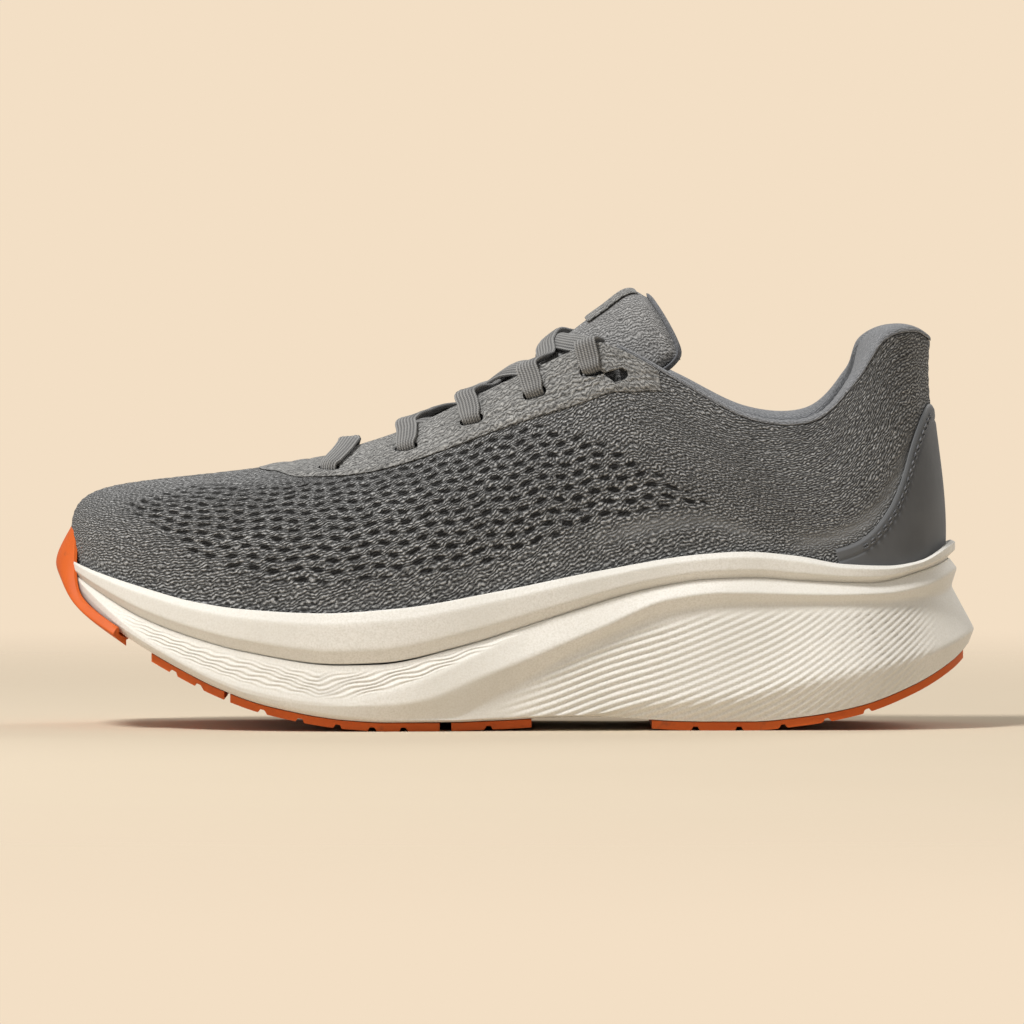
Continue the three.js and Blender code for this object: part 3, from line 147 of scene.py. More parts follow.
def through(rows):
    """A curve through rows of [parameter, value, ...] whose slopes never overshoot."""
    table = np.array(rows, float)
    at, values = table[:, 0], table[:, 1:]
    slope = np.diff(values, axis=0) / np.diff(at)[:, None]
    tangent = np.empty_like(values)
    tangent[0], tangent[-1] = slope[0], slope[-1]
    a, b = slope[:-1], slope[1:]
    total = np.where(np.abs(a + b) < 1e-12, 1, a + b)
    tangent[1:-1] = np.where(a * b <= 0, 0, 2 * a * b / total)

    def curve(x):
        x = np.clip(np.asarray(x, float), at[0], at[-1])
        i = np.clip(np.searchsorted(at, x, side="left") - 1, 0, len(at) - 2)
        h = (at[i + 1] - at[i])[..., None]
        s = (x - at[i])[..., None] / h
        made = (values[i] * (1 + 2 * s) * (1 - s) ** 2 + values[i + 1] * s * s * (3 - 2 * s)
                + h * (tangent[i] * s * (1 - s) ** 2 - tangent[i + 1] * s * s * (1 - s)))
        return made[..., 0] if values.shape[1] == 1 else made
    return curve


def closed_loop(rows):
    """A closed curve through rows of [turn, values...], with period 2."""
    table = np.array(rows, float)
    at = np.concatenate([table[-1:, 0] - 2, table[:, 0], table[:2, 0] + 2])
    values = np.concatenate([table[-1:, 1:], table[:, 1:], table[:2, 1:]])
    slope = (values[2:] - values[:-2]) / (at[2:] - at[:-2])[:, None]

    def curve(turn):
        u = np.mod(np.asarray(turn, float), 2)
        i = np.clip(np.searchsorted(at[1:-1], u, side="right") - 1, 0, len(table) - 1)
        h = (at[i + 2] - at[i + 1])[..., None]
        s = (u - at[i + 1])[..., None] / h
        return (values[i + 1] * (1 + 2 * s) * (1 - s) ** 2 + values[i + 2] * s * s * (3 - 2 * s)
                + h * (slope[i] * s * (1 - s) ** 2 - slope[i + 1] * s * s * (1 - s)))
    return curve


def side_of(turn):
    u = np.mod(turn, 2)
    return np.where(u <= 1, u, 2 - u)


def catmull(points, t):
    """A smooth curve through points, at parameters t in whole steps from point to point (centripetal)."""
    p = np.asarray(points, float)
    p = np.concatenate([2 * p[:1] - p[1:2], p, 2 * p[-1:] - p[-2:-1]])
    i = np.clip(np.floor(t).astype(int), 0, len(p) - 4)
    s = (t - i)[:, None]
    p0, p1, p2, p3 = p[i], p[i + 1], p[i + 2], p[i + 3]
    d0, d1, d2 = (np.maximum(np.linalg.norm(b - a, axis=1, keepdims=True) ** 0.5, 1e-4)
                  for a, b in ((p0, p1), (p1, p2), (p2, p3)))
    t1 = ((p1 - p0) / d0 - (p2 - p0) / (d0 + d1) + (p2 - p1) / d1) * d1
    t2 = ((p2 - p1) / d1 - (p3 - p1) / (d1 + d2) + (p3 - p2) / d2) * d1
    return ((2 * p1 - 2 * p2 + t1 + t2) * s ** 3 + (-3 * p1 + 3 * p2 - 2 * t1 - t2) * s ** 2 + t1 * s + p1)


# ------------------------------------------------------------------ the sole wall
def plan_rows():
    steps = len(OUTER_Y) + 1
    x_at = [lerp(TOE_X, HEEL_X, (1 - np.cos(pi * i / steps)) / 2) for i in range(steps + 1)]
    rows = [[0, x_at[0], TOE_Y]]
    rows += [[(i + 1) / steps, x_at[i + 1], y] for i, y in enumerate(OUTER_Y)]
    rows += [[1, x_at[steps], 0]]
    rows += [[1 + (i + 1) / steps, x_at[steps - 1 - i], y] for i, y in enumerate(reversed(INNER_Y))]
    return rows


plan = closed_loop(plan_rows())


def plan_normal(turn):
    along = unit(plan(turn + 0.004) - plan(turn - 0.004))
    return np.stack([along[..., 1], -along[..., 0], np.zeros(along.shape[:-1])], -1)


def wall_point(turn, out, height):
    """The plan outline at this turn, pushed out, at a height (a number, or a function of x)."""
    turn = np.asarray(turn, float)
    p = np.concatenate([plan(turn), np.zeros(turn.shape + (1,))], -1)
    p = p + plan_normal(turn) * np.asarray(out)[..., None]
    p[..., 2] = height(p[..., 0]) if callable(height) else height
    return p


bite_at, crease_line, ridge_line = through(BITE), through(CREASE), through(RIDGE)
footbed_at, tread_at = through(FOOTBED), through(TREAD_LINE)
face_low_line, under_line, flank_line = through(FACE_LOW), through(UNDER_FACE), through(FLANK)
bite_out, band_out, crease_out = through(BITE_OUT), through(BAND_OUT), through(CREASE_OUT)
ridge_out, face_low_out, under_out = through(RIDGE_OUT), through(FACE_LOW_OUT), through(UNDER_FACE_OUT)
flank_out, tread_out = through(FLANK_OUT), through(TREAD_OUT)


def bottom_at(x):
    return tread_at(x) + RUBBER + GAP


def crease_at(x):
    return np.maximum(crease_line(x), bottom_at(x) + 3.6)


def ridge_at(x):
    return np.maximum(np.minimum(ridge_line(x), crease_at(x) - 0.8), bottom_at(x) + 2.8)


def face_low_at(x):
    return np.maximum(face_low_line(x), bottom_at(x) + 2.1)


def under_at(x):
    return np.maximum(under_line(x), bottom_at(x) + 1.4)


def flank_at(x):
    return np.maximum(flank_line(x), bottom_at(x) + 0.7)


def parting_at(x):
    return np.maximum(footbed_at(x) - TOP_FOAM, lerp(bottom_at(x), footbed_at(x), 0.45))


def band_at(share):
    return lambda x: lerp(bite_at(x), crease_at(x), share)


# ------------------------------------------------------------------ the upper's surface
def topline_rows():
    rows = [[t, x, mid - half, z] for t, x, mid, half, z in TOPLINE]
    for t, x, mid, half, z in reversed(TOPLINE[1:-1]):
        rise = INNER_COLLAR_RISE * smoothstep(t, 0.62, 0.76) * (1 - smoothstep(t, 0.84, 0.93))
        rows.append([2 - t, x, mid + half, z + rise])
    return rows


top_loop = closed_loop(topline_rows())
rib_at = through(RIBS)


def surface(turn, v):
    """The upper's outer face: ribs that rise from the foam (v 0) to the topline (v 1)."""
    turn, v = np.broadcast_arrays(np.asarray(turn, float), np.asarray(v, float))
    rib = rib_at(side_of(turn))
    normal = plan_normal(turn)
    foot = wall_point(turn, np.full(turn.shape, -RIB_FOOT_IN), lambda x: footbed_at(x) + GAP)
    top = top_loop(turn)
    up = np.array([0.0, 0.0, 1.0])
    low = foot + normal * rib[..., 0:1] + up * rib[..., 1:2]
    high = top + normal * rib[..., 2:3] - up * rib[..., 3:4]
    s = np.clip(v, 0, 1)[..., None]
    return foot * (1 - s) ** 3 + low * 3 * s * (1 - s) ** 2 + high * 3 * s * s * (1 - s) + top * s ** 3


def surface_normal(turn, v):
    along = surface(turn + 0.006, v) - surface(turn - 0.006, v)
    up = surface(turn, np.minimum(v + 0.01, 1)) - surface(turn, np.maximum(v - 0.01, 0))
    return unit(np.cross(along, up))


def up_direction(turn, v):
    return unit(surface(turn, v) - surface(turn, v - 0.04))


def layer(turn, v, depth):
    return surface(turn, v) - surface_normal(turn, v) * np.asarray(depth)[..., None]


BEHIND_KNIT = KNIT + GAP
padding_at = through(PADDING)


def pad(turn, v):
    side = side_of(turn)
    full = padding_at(side) * smoothstep(v, 0.42, 0.8) * smoothstep(side, 0.58, 0.64)
    return np.where(side < 0.58, 0, full)


def lining_depth(turn, v):
    return BEHIND_KNIT + (COUNTER + 1.3 * GAP) * smoothstep(side_of(turn), 0.66, 0.72) + pad(turn, v)


# ------------------------------------------------------------------ meshes
def new_mesh(name, vertices, faces, material, body, uv=None, masks=None, per_corner=False):
    """A mesh of quads from points in millimetres. Masks have one value per vertex, and so has uv unless
    per_corner is set."""
    mesh = bpy.data.meshes.new(name)
    vertices = np.asarray(vertices, float).reshape(-1, 3) * MM
    mesh.vertices.add(len(vertices))
    mesh.vertices.foreach_set("co", vertices.ravel())
    faces = np.asarray(faces)
    loops = faces.ravel()
    mesh.loops.add(len(loops))
    mesh.loops.foreach_set("vertex_index", loops.astype(np.int32))
    mesh.polygons.add(len(faces))
    mesh.polygons.foreach_set("loop_start", np.arange(0, len(loops), 4, dtype=np.int32))
    mesh.polygons.foreach_set("use_smooth", np.ones(len(faces), bool))
    mesh.update(calc_edges=True)
    if uv is not None:
        uv_layer = mesh.uv_layers.new(name="UVMap")
        uv = np.asarray(uv, float)
        corners = uv.reshape(-1, 2) if per_corner else uv.reshape(-1, 2)[loops]
        uv_layer.data.foreach_set("uv", corners.ravel().astype(np.float32))
    for mask_name, values in (masks or {}).items():
        attribute = mesh.attributes.new(mask_name, "FLOAT", "POINT")
        attribute.data.foreach_set("value", np.asarray(values, float).ravel().astype(np.float32))
    mesh.validate()
    made = bpy.data.objects.new(name, mesh)
    bpy.context.scene.collection.objects.link(made)
    made.data.materials.append(material)
    if body:
        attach(made, body)
    return made


def weld(made, distance=2e-6):
    b = bmesh.new()
    b.from_mesh(made.data)
    bmesh.ops.remove_doubles(b, verts=b.verts, dist=distance)
    bmesh.ops.dissolve_degenerate(b, edges=b.edges, dist=distance)
    bmesh.ops.recalc_face_normals(b, faces=b.faces)
    b.to_mesh(made.data)
    b.free()
    return made


def grid_faces(rows, columns, wrap_rows=False, wrap_columns=False):
    i = np.arange(rows if wrap_rows else rows - 1)[:, None]
    j = np.arange(columns if wrap_columns else columns - 1)[None]
    i2, j2 = (i + 1) % rows, (j + 1) % columns
    corners = (i * columns + j, i2 * columns + j, i2 * columns + j2, i * columns + j2)
    return np.stack(np.broadcast_arrays(*corners), -1).reshape(-1, 4)


def chaikin(points, weights, rounds, hold=0.0):
    """Rounds the corners of polylines. points is [line, corner, 3], and weights has one value per corner.
    With hold, only that share of each side next to a corner is rounded."""
    w = np.asarray(weights, float)
    if hold:
        corner = points[:, 1:-1]
        before, after = lerp(corner, points[:, :-2], hold), lerp(corner, points[:, 2:], hold)
        held = np.stack([before, corner, after], 2).reshape(points.shape[0], -1, 3)
        held_w = np.stack([lerp(w[1:-1], w[:-2], hold), w[1:-1], lerp(w[1:-1], w[2:], hold)], 1).ravel()
        points = np.concatenate([points[:, :1], held, points[:, -1:]], 1)
        w = np.concatenate([w[:1], held_w, w[-1:]])
    for _ in range(rounds):
        q = lerp(points[:, :-1], points[:, 1:], 0.25)
        r = lerp(points[:, :-1], points[:, 1:], 0.75)
        middle = np.stack([q, r], 2).reshape(points.shape[0], -1, 3)
        wq, wr = lerp(w[:-1], w[1:], 0.25), lerp(w[:-1], w[1:], 0.75)
        points = np.concatenate([points[:, :1], middle[:, 1:-1], points[:, -1:]], 1)
        w = np.concatenate([w[:1], np.stack([wq, wr], 1).ravel()[1:-1], w[-1:]])
    return points, w


def resample(points, weights, wanted):
    """Points of the polylines at the wanted weights, one list for all lines or one for each."""
    wanted = np.broadcast_to(wanted, (len(points), np.shape(wanted)[-1]))
    i = np.clip(np.searchsorted(weights, wanted) - 1, 0, len(weights) - 2)
    s = ((wanted - weights[i]) / (weights[i + 1] - weights[i]))[..., None]
    line = np.arange(len(points))[:, None]
    return lerp(points[line, i], points[line, i + 1], s)


def across(outer, inner, count, height):
    """Rows of points between two edges, both ends left out: [station, count, 3]."""
    s = (np.arange(count) + 1) / (count + 1)
    p = lerp(outer[:, None], inner[:, None], s[None, :, None])
    p[..., 2] = height(p[..., 0], 2 * s[None] - 1)
    return p


def loft(name, rings, material, body):
    """A closed solid through rings [station, point, 3] whose first and last ring are zipped shut."""
    n, m = rings.shape[:2]
    lengths = np.linalg.norm(np.diff(rings, axis=1), axis=-1)
    v = np.concatenate([np.zeros((n, 1)), np.cumsum(lengths, 1)], 1)
    uv = np.stack([rings[..., 0], v], -1)
    made = new_mesh(name, rings, grid_faces(n, m, False, True), material, body, uv)
    return weld(made)


def holes_filled(faces, gone):
    """Faces left once some are gone, and the corners that lie on the edge between the two."""
    kept, lost = faces[~gone], faces[gone]
    return kept, np.intersect1d(kept.ravel(), lost.ravel())


def edge_walls(faces, count):
    """Quads that join the open edges of a sheet to the same edges of its copy, count corners later."""
    a = np.concatenate([faces[:, k] for k in range(4)])
    b = np.concatenate([faces[:, (k + 1) % 4] for k in range(4)])
    alone = ~np.isin(b * count + a, a * count + b)
    return np.stack([b[alone], a[alone], a[alone] + count, b[alone] + count], -1)


NUDGE = 1e-4  # step of turn or v for a slope


def closed_sheet(name, outer, inner, grid, material, body, uv):
    """A solid between two faces with the same grid of quads."""
    count = outer.reshape(-1, 3).shape[0]
    every = np.concatenate([grid, grid[:, ::-1] + count, edge_walls(grid, count)])
    points = np.concatenate([outer.reshape(-1, 3), inner.reshape(-1, 3)])
    return weld(new_mesh(name, points, every, material, body, np.tile(uv.reshape(-1, 2), (2, 1))))


def ribbon_faces(n, m):
    """Quads of a flat tube of n rings of m points, with both ends zipped shut."""
    j = np.arange(m // 2 - 1)
    caps = np.stack([j, j + 1, m - 2 - j, m - 1 - j], -1)
    return np.concatenate([grid_faces(n, m, False, True), caps[:, ::-1], caps + (n - 1) * m])


def lengths_along(points):
    """Distance along a line of points, up to each of them."""
    return np.concatenate([[0], np.cumsum(np.linalg.norm(np.diff(points, axis=0), axis=1))])


def shell(name, turns, rows, outer, inner, material, body, wrap=False, holes=(), masks=None):
    """A sheet of the upper between two depths, which are functions of turn and v. rows is [turn, row]."""
    n, m = rows.shape
    tt = np.repeat(turns[:, None], m, 1).astype(float)
    vv = rows.copy()
    faces = grid_faces(n, m, wrap, False)
    gone = np.zeros(len(faces), bool)
    whole = surface(tt, vv)
    middles = whole.reshape(-1, 3)[faces].mean(1)
    for hole in holes:
        at = hole.local(whole).reshape(-1, 2)
        gone |= (hole.outside(at[faces].mean(1)) < 0) & hole.near(middles)
    kept, rim = holes_filled(faces, gone)
    for hole in holes:
        ti, vi = tt.ravel()[rim], vv.ravel()[rim]
        close = hole.near(surface(ti, vi))
        mine = rim[close]
        for _ in range(3):  # Newton steps that bring the rim's corners onto the eyelet's outline
            t0, v0 = tt.ravel()[mine], vv.ravel()[mine]
            p = hole.local(surface(t0, v0))
            pt = (hole.local(surface(t0 + NUDGE, v0)) - p) / NUDGE
            pv = (hole.local(surface(t0, v0 - NUDGE)) - p) / -NUDGE
            want = hole.onto(p) - p
            det = pt[:, 0] * pv[:, 1] - pt[:, 1] * pv[:, 0]
            tt.reshape(-1)[mine] += (want[:, 0] * pv[:, 1] - want[:, 1] * pv[:, 0]) / det
            vv.reshape(-1)[mine] += (pt[:, 0] * want[:, 1] - pt[:, 1] * want[:, 0]) / det
    vertices = np.concatenate([layer(tt, vv, outer(tt, vv)).reshape(-1, 3),
                               layer(tt, vv, inner(tt, vv)).reshape(-1, 3)])
    count = n * m
    every = np.concatenate([kept, kept[:, ::-1] + count, edge_walls(kept, count)])
    u = along_at(tt).ravel()
    corner_u = np.tile(u, 2)[every]
    behind = corner_u.max(1, keepdims=True) - corner_u > PERIMETER / 2
    corner_u = np.where(behind, corner_u + PERIMETER, corner_u)
    uv = np.stack([corner_u, np.tile(vv.ravel() * CLOTH_HEIGHT, 2)[every]], -1)
    used, compact = np.unique(every, return_inverse=True)
    made_masks = {k: np.tile(f(tt, vv).ravel(), 2)[used] for k, f in (masks or {}).items()}
    return new_mesh(name, vertices[used], compact.reshape(-1, 4), material, body, uv, made_masks,
                    per_corner=True)


class Slot:
    """An eyelet: a stadium on the upper's surface."""

    def __init__(self, index, is_inner, width=EYELET_WIDTH):
        side, self.v = EYELETS[index]
        self.turn = 2 - side if is_inner else side
        self.centre = surface(self.turn, self.v)
        self.normal = surface_normal(self.turn, self.v)
        up = up_direction(self.turn, self.v)
        self.along = unit(np.cross(up, self.normal))
        self.up = unit(np.cross(self.normal, self.along))
        self.radius = width / 2
        self.half = EYELET_LENGTH / 2 - self.radius

    def local(self, p):
        d = p - self.centre
        return np.stack([d @ self.along, d @ self.up], -1)

    def near(self, p):
        return np.linalg.norm(p - self.centre, axis=-1) < EYELET_LENGTH

    def outside(self, q):
        across_end = np.maximum(np.abs(q[..., 0]) - self.half, 0)
        return np.hypot(across_end, q[..., 1]) - self.radius

    def onto(self, q):
        core = np.stack([np.clip(q[..., 0], -self.half, self.half), np.zeros(q.shape[:-1])], -1)
        return core + unit(q - core) * self.radius


EYELET_SLOTS = [Slot(i, is_inner) for i in range(len(EYELETS)) for is_inner in (False, True)]
FILM_WIDTH = 4.0  # the fused film closes each eyelet to this width
FILM_SLOTS = [Slot(i, is_inner, FILM_WIDTH) for i in range(len(EYELETS)) for is_inner in (False, True)]

# Distance round the shoe, in millimetres, for the pitch of knitted patterns.
_TURNS = np.linspace(0, 2, 2001)
_ALONG = lengths_along(surface(_TURNS, 0.5))
PERIMETER = _ALONG[-1]


def along_at(turn):
    return np.interp(np.mod(turn, 2), _TURNS, _ALONG)


def even_turns(start, end, pitch):
    """Turns from start to end (which may pass the toe), this far apart along the shoe."""
    fine = np.linspace(start, end, 3000)
    length = lengths_along(surface(fine, 0.5))
    return np.interp(np.linspace(0, length[-1], int(length[-1] / pitch) + 1), length, fine)


# ------------------------------------------------------------------ materials
class Look:
    """A material, with short names for the nodes that these materials use."""

    def __init__(self, name, colour, roughness, sheen=0.0, specular=0.4):
        self.material = bpy.data.materials.new(name)
        self.material.use_nodes = True
        self.tree = self.material.node_tree
        self.shader = self.tree.nodes["Principled BSDF"]
        self.shader.inputs["Base Color"].default_value = (*linear(colour), 1)
        self.shader.inputs["Roughness"].default_value = roughness
        self.shader.inputs["Sheen Weight"].default_value = sheen
        self.shader.inputs["Specular IOR Level"].default_value = specular

    def node(self, kind, **settings):
        made = self.tree.nodes.new(kind)
        for key, value in settings.items():
            setattr(made, key, value)
        return made

    def put(self, socket, value):
        if isinstance(value, bpy.types.NodeSocket):
            self.tree.links.new(value, socket)
        else:
            socket.default_value = value

    def math(self, kind, *values):
        made = self.node("ShaderNodeMath", operation=kind)
        for socket, value in zip(made.inputs, values):
            self.put(socket, value)
        return made.outputs[0]

    def plus(self, a, b):
        return self.math("ADD", a, b)

    def minus(self, a, b):
        return self.math("SUBTRACT", a, b)

    def times(self, a, b):
        return self.math("MULTIPLY", a, b)

    def wave(self, kind, value, rate, height):
        """height times the sine or cosine of value times rate."""
        return self.times(self.math(kind, self.times(value, rate)), height)

    def step(self, value, low, high):
        made = self.node("ShaderNodeMapRange", interpolation_type="SMOOTHSTEP")
        for key, given in (("Value", value), ("From Min", low), ("From Max", high)):
            self.put(made.inputs[key], given)
        return made.outputs["Result"]

    def place(self, scale=(1, 1, 1), turn=0.0):
        """Rest position in millimetres, scaled."""
        where = self.node("ShaderNodeTexCoord").outputs["Object"]
        return self.mapped(where, [s / MM for s in scale], turn)

    def split(self, vector):
        made = self.node("ShaderNodeSeparateXYZ")
        self.put(made.inputs[0], vector)
        return made.outputs[0], made.outputs[1]

    def cloth(self, scale=(1, 1, 1), turn=0.0):
        """Place on the cloth in millimetres, scaled."""
        return self.mapped(self.node("ShaderNodeUVMap", uv_map="UVMap").outputs[0], scale, turn)

    def mapped(self, where, scale, turn):
        made = self.node("ShaderNodeMapping")
        self.put(made.inputs["Vector"], where)
        made.inputs["Scale"].default_value = scale
        made.inputs["Rotation"].default_value = (0, 0, turn)
        return made.outputs[0]

    def noise(self, where, scale=1.0, detail=3.0):
        made = self.node("ShaderNodeTexNoise")
        self.put(made.inputs["Vector"], where)
        made.inputs["Scale"].default_value = scale
        made.inputs["Detail"].default_value = detail
        return made.outputs[0]

    def cells(self, where):
        made = self.node("ShaderNodeTexVoronoi")
        self.put(made.inputs["Vector"], where)
        made.inputs["Scale"].default_value = 1.0
        return made.outputs["Distance"]

    def mask(self, name):
        return self.node("ShaderNodeAttribute", attribute_name=name).outputs["Fac"]

    def mix(self, factor, a, b):
        made = self.node("ShaderNodeMix", data_type="RGBA")
        self.put(made.inputs["Factor"], factor)
        for socket, value in ((made.inputs[6], a), (made.inputs[7], b)):
            self.put(socket, value if isinstance(value, bpy.types.NodeSocket) else (*linear(value), 1))
        return made.outputs[2]

    def colour(self, socket):
        self.put(self.shader.inputs["Base Color"], socket)

    def fade_out(self, near, far):
        """Turns the surface clear between these distances from the origin, in metres."""
        away = self.node("ShaderNodeVectorMath", operation="LENGTH")
        self.put(away.inputs[0], self.node("ShaderNodeTexCoord").outputs["Object"])
        clear = self.node("ShaderNodeBsdfTransparent")
        blend = self.node("ShaderNodeMixShader")
        self.put(blend.inputs[0], self.step(away.outputs["Value"], near, far))
        self.put(blend.inputs[1], self.shader.outputs[0])
        self.put(blend.inputs[2], clear.outputs[0])
        self.put(self.tree.nodes["Material Output"].inputs[0], blend.outputs[0])

    def bump(self, height, distance, strength=1.0):
        """Relief of this many millimetres."""
        made = self.node("ShaderNodeBump")
        made.inputs["Strength"].default_value = strength
        made.inputs["Distance"].default_value = distance * MM
        self.put(made.inputs["Height"], height)
        if self.shader.inputs["Normal"].is_linked:
            self.put(made.inputs["Normal"], self.shader.inputs["Normal"].links[0].from_socket)
        self.put(self.shader.inputs["Normal"], made.outputs[0])


def linear(colour):
    """Linear values of an sRGB colour given in 0 to 255."""
    c = np.array(colour[:3], float) / 255
    return [float(x) for x in np.where(c <= 0.04045, c / 12.92, ((c + 0.055) / 1.055) ** 2.4)]


def foam_look():
    look = Look("midsole_foam", (233, 231, 227), 0.62, sheen=0.05, specular=0.3)
    broad = look.noise(look.place(), 0.03, 3)
    grain = look.noise(look.place(), 1.6, 4)
    base = look.mix(look.step(broad, 0.35, 0.65), (229, 227, 221), (238, 236, 231))
    look.colour(look.mix(look.step(grain, 0.3, 0.8), base, (221, 218, 210)))
    look.bump(grain, 0.05, 0.5)
    look.bump(look.cells(look.place((2.2, 2.2, 2.2))), 0.04, 0.5)
    return look.material


def rubber_look():
    look = Look("outsole_rubber", (205, 88, 32), 0.58, specular=0.4)
    scuff = look.noise(look.place((1, 0.4, 1)), 0.25, 6)
    base = look.mix(look.noise(look.place(), 0.06, 2), (196, 82, 18), (212, 99, 27))
    look.colour(look.mix(look.step(scuff, 0.58, 0.78), base, (170, 82, 34)))
    look.bump(look.noise(look.place(), 2.5, 3), 0.06, 0.6)
    return look.material


SLIT_PITCH, SLIT_ROW, SLIT_LONG, SLIT_HIGH = 5.6, 2.7, 2.4, 0.85
# How far, in millimetres, and how fast the slits wander along their rows and across them.
DRIFT_ALONG, DRIFT_ALONG_RATE, DRIFT_ACROSS, DRIFT_ACROSS_RATE = 0.8, 0.61, 0.5, 0.37


def slit_nodes(look):
    """The open knit's staggered slits, as slit_lattice() places them."""
    flat_u, flat_w = look.split(look.cloth())
    u = look.plus(flat_u, look.wave("SINE", flat_w, DRIFT_ALONG_RATE, DRIFT_ALONG))
    w = look.plus(flat_w, look.wave("SINE", flat_u, DRIFT_ACROSS_RATE, DRIFT_ACROSS))
    row = look.math("FLOOR", look.math("DIVIDE", w, SLIT_ROW))
    shift = look.times(look.math("FLOORED_MODULO", row, 2.0), 0.5)
    at_slit = look.plus(look.math("DIVIDE", u, SLIT_PITCH), shift)
    a = look.minus(look.math("FRACT", at_slit), 0.5)
    b = look.minus(look.math("FRACT", look.math("DIVIDE", w, SLIT_ROW)), 0.5)
    a = look.math("POWER", look.math("ABSOLUTE", look.times(a, SLIT_PITCH / SLIT_LONG)), 2.0)
    b = look.math("POWER", look.math("ABSOLUTE", look.times(b, SLIT_ROW / SLIT_HIGH)), 2.0)
    away = look.math("SQRT", look.plus(a, b))
    ragged = look.times(look.minus(look.noise(look.cloth(), 0.9, 2), 0.5), 0.9)
    return look.minus(1.0, look.step(look.plus(away, ragged), 0.55, 1.05))


# The second tone is painted shade: near black for the open knit's slits, which are dented but not cut through.
PLAIN_TONE, SLIT_SHADE_TONE = (126, 127, 128), (20, 20, 21)


def knit_look(name, dark, middle, light, row=0.86, stroke=2.0, slant=-0.3, relief=0.5, holes=False):
    """A knit of staggered strokes in slanted rows. row and stroke are in millimetres. With holes, the mask "open"
    brings out its slits, and the mask "plain" makes it smoother and paler."""
    look = Look(name, middle, 0.9, sheen=0.2, specular=0.15)
    u, w = look.split(look.cloth(turn=slant))
    wander = look.times(look.minus(look.noise(look.cloth(), 0.3, 3), 0.5), 3.6 * row)
    at_row = look.math("DIVIDE", look.plus(w, wander), row)
    shift = look.times(look.math("FLOOR", look.plus(at_row, 0.5)), 0.43)
    uneven = look.times(look.noise(look.cloth(), 0.5, 2), 2.2)
    at_stroke = look.plus(look.plus(look.math("DIVIDE", u, stroke), shift), uneven)
    across_row = look.wave("COSINE", at_row, 2 * pi, 0.34)
    along_row = look.wave("COSINE", at_stroke, 2 * pi, 0.2)
    height = look.plus(across_row, along_row)
    fuzz = look.minus(look.noise(look.cloth((1, 2.2, 1), slant), 1.1, 4), 0.5)
    height = look.plus(height, look.times(fuzz, 1.7))
    height = look.plus(height, 0.45)
    tone = look.mix(look.step(height, -0.15, 0.5), dark, middle)
    tone = look.mix(look.step(height, 0.45, 1.15), tone, light)
    if holes:
        tone = look.mix(look.times(look.mask("plain"), 0.85), tone, PLAIN_TONE)
        height = look.times(height, look.minus(1.0, look.times(look.mask("plain"), 0.7)))
        slit = look.times(slit_nodes(look), look.step(look.mask("open"), 0.15, 0.55))
        # Paints the slits near black: painted shade standing in for the dark inside open holes.
        tone = look.mix(slit, tone, SLIT_SHADE_TONE)
        height = look.minus(height, look.times(slit, 1.1))
    shade = look.noise(look.cloth(), 0.06, 3)
    look.colour(look.mix(look.times(look.step(shade, 0.35, 0.75), 0.2), tone, dark))
    look.bump(height, relief, 1.0)
    return look.material


def panel_look():
    look = Look("heel_panel", (96, 98, 101), 0.5, sheen=0.05, specular=0.3)
    broad = look.noise(look.place(), 0.05, 3)
    look.colour(look.mix(look.step(broad, 0.3, 0.7), (91, 93, 96), (100, 102, 105)))
    look.bump(look.noise(look.place(), 3.0, 3), 0.03, 0.6)
    return look.material


LACE_RIB, LACE_WEAVE = 0.95, 0.8  # pitch of its ribs and of the steps across them


def lace_look():
    """A flat weave with ribs along the lace and small steps across them."""
    look = Look("lace_weave", (136, 137, 137), 0.85, sheen=0.3, specular=0.2)
    u, w = look.split(look.cloth())
    rib = look.wave("COSINE", w, 2 * pi / LACE_RIB, 0.5)
    slope = look.plus(u, look.times(w, 0.7))
    step = look.wave("COSINE", slope, 2 * pi / LACE_WEAVE, 0.2)
    height = look.plus(rib, step)
    base = look.mix(look.step(height, -0.6, 0.4), (88, 88, 89), (152, 152, 151))
    shade = look.noise(look.cloth(), 0.1, 2)
    look.colour(look.mix(look.times(shade, 0.3), base, (112, 112, 112)))
    look.bump(height, 0.3, 1.0)
    return look.material


def fibre_look(name, colour, shadow, scale, relief):
    """A felted or foamed inner material."""
    look = Look(name, colour, 0.9, sheen=0.1, specular=0.2)
    fibres = look.noise(look.place((1, 0.5, 1)), scale, 5)
    look.colour(look.mix(look.step(fibres, 0.3, 0.7), colour, shadow))
    look.bump(look.cells(look.place((scale, scale, scale))), relief, 0.7)
    return look.material


def aglet_look():
    look = Look("aglet_plastic", (86, 88, 94), 0.25, specular=0.5)
    flow = look.noise(look.place((1, 1, 0.2)), 0.4, 3)
    look.colour(look.mix(flow, (80, 82, 88), (96, 98, 104)))
    look.bump(flow, 0.04, 0.4)
    return look.material


GREY_DARK, GREY, GREY_LIGHT = (24, 24, 25), (99, 100, 101), (198, 199, 200)
FOAM = foam_look()
RUBBER_LOOK = rubber_look()
KNIT_LOOK = knit_look("upper_knit", GREY_DARK, GREY, GREY_LIGHT, holes=True)
TONGUE_LOOK = knit_look("tongue_knit", (70, 70, 71), (142, 142, 142), (188, 188, 188), 1.1, 1.5, 0.3, 0.3)
LINING_LOOK = knit_look("lining_knit", (92, 94, 97), (132, 134, 138), (160, 162, 166), 0.8, 1.2, 0.1, 0.2)
BINDING_LOOK = knit_look("binding_tape", (78, 80, 85), (108, 110, 115), (130, 132, 136), 0.9, 1.1, 0.2, 0.14)
FILM = knit_look("overlay_film", (72, 72, 72), (138, 138, 137), (184, 184, 182), 1.3, 3.4, -0.2, 0.3)
PANEL = panel_look()
LACE_LOOK = lace_look()
BACKING_LOOK = fibre_look("backing_fabric", (92, 92, 93), (76, 76, 78), 1.4, 0.1)
BOARD_LOOK = fibre_look("strobel_board", (188, 182, 168), (168, 162, 148), 1.1, 0.12)
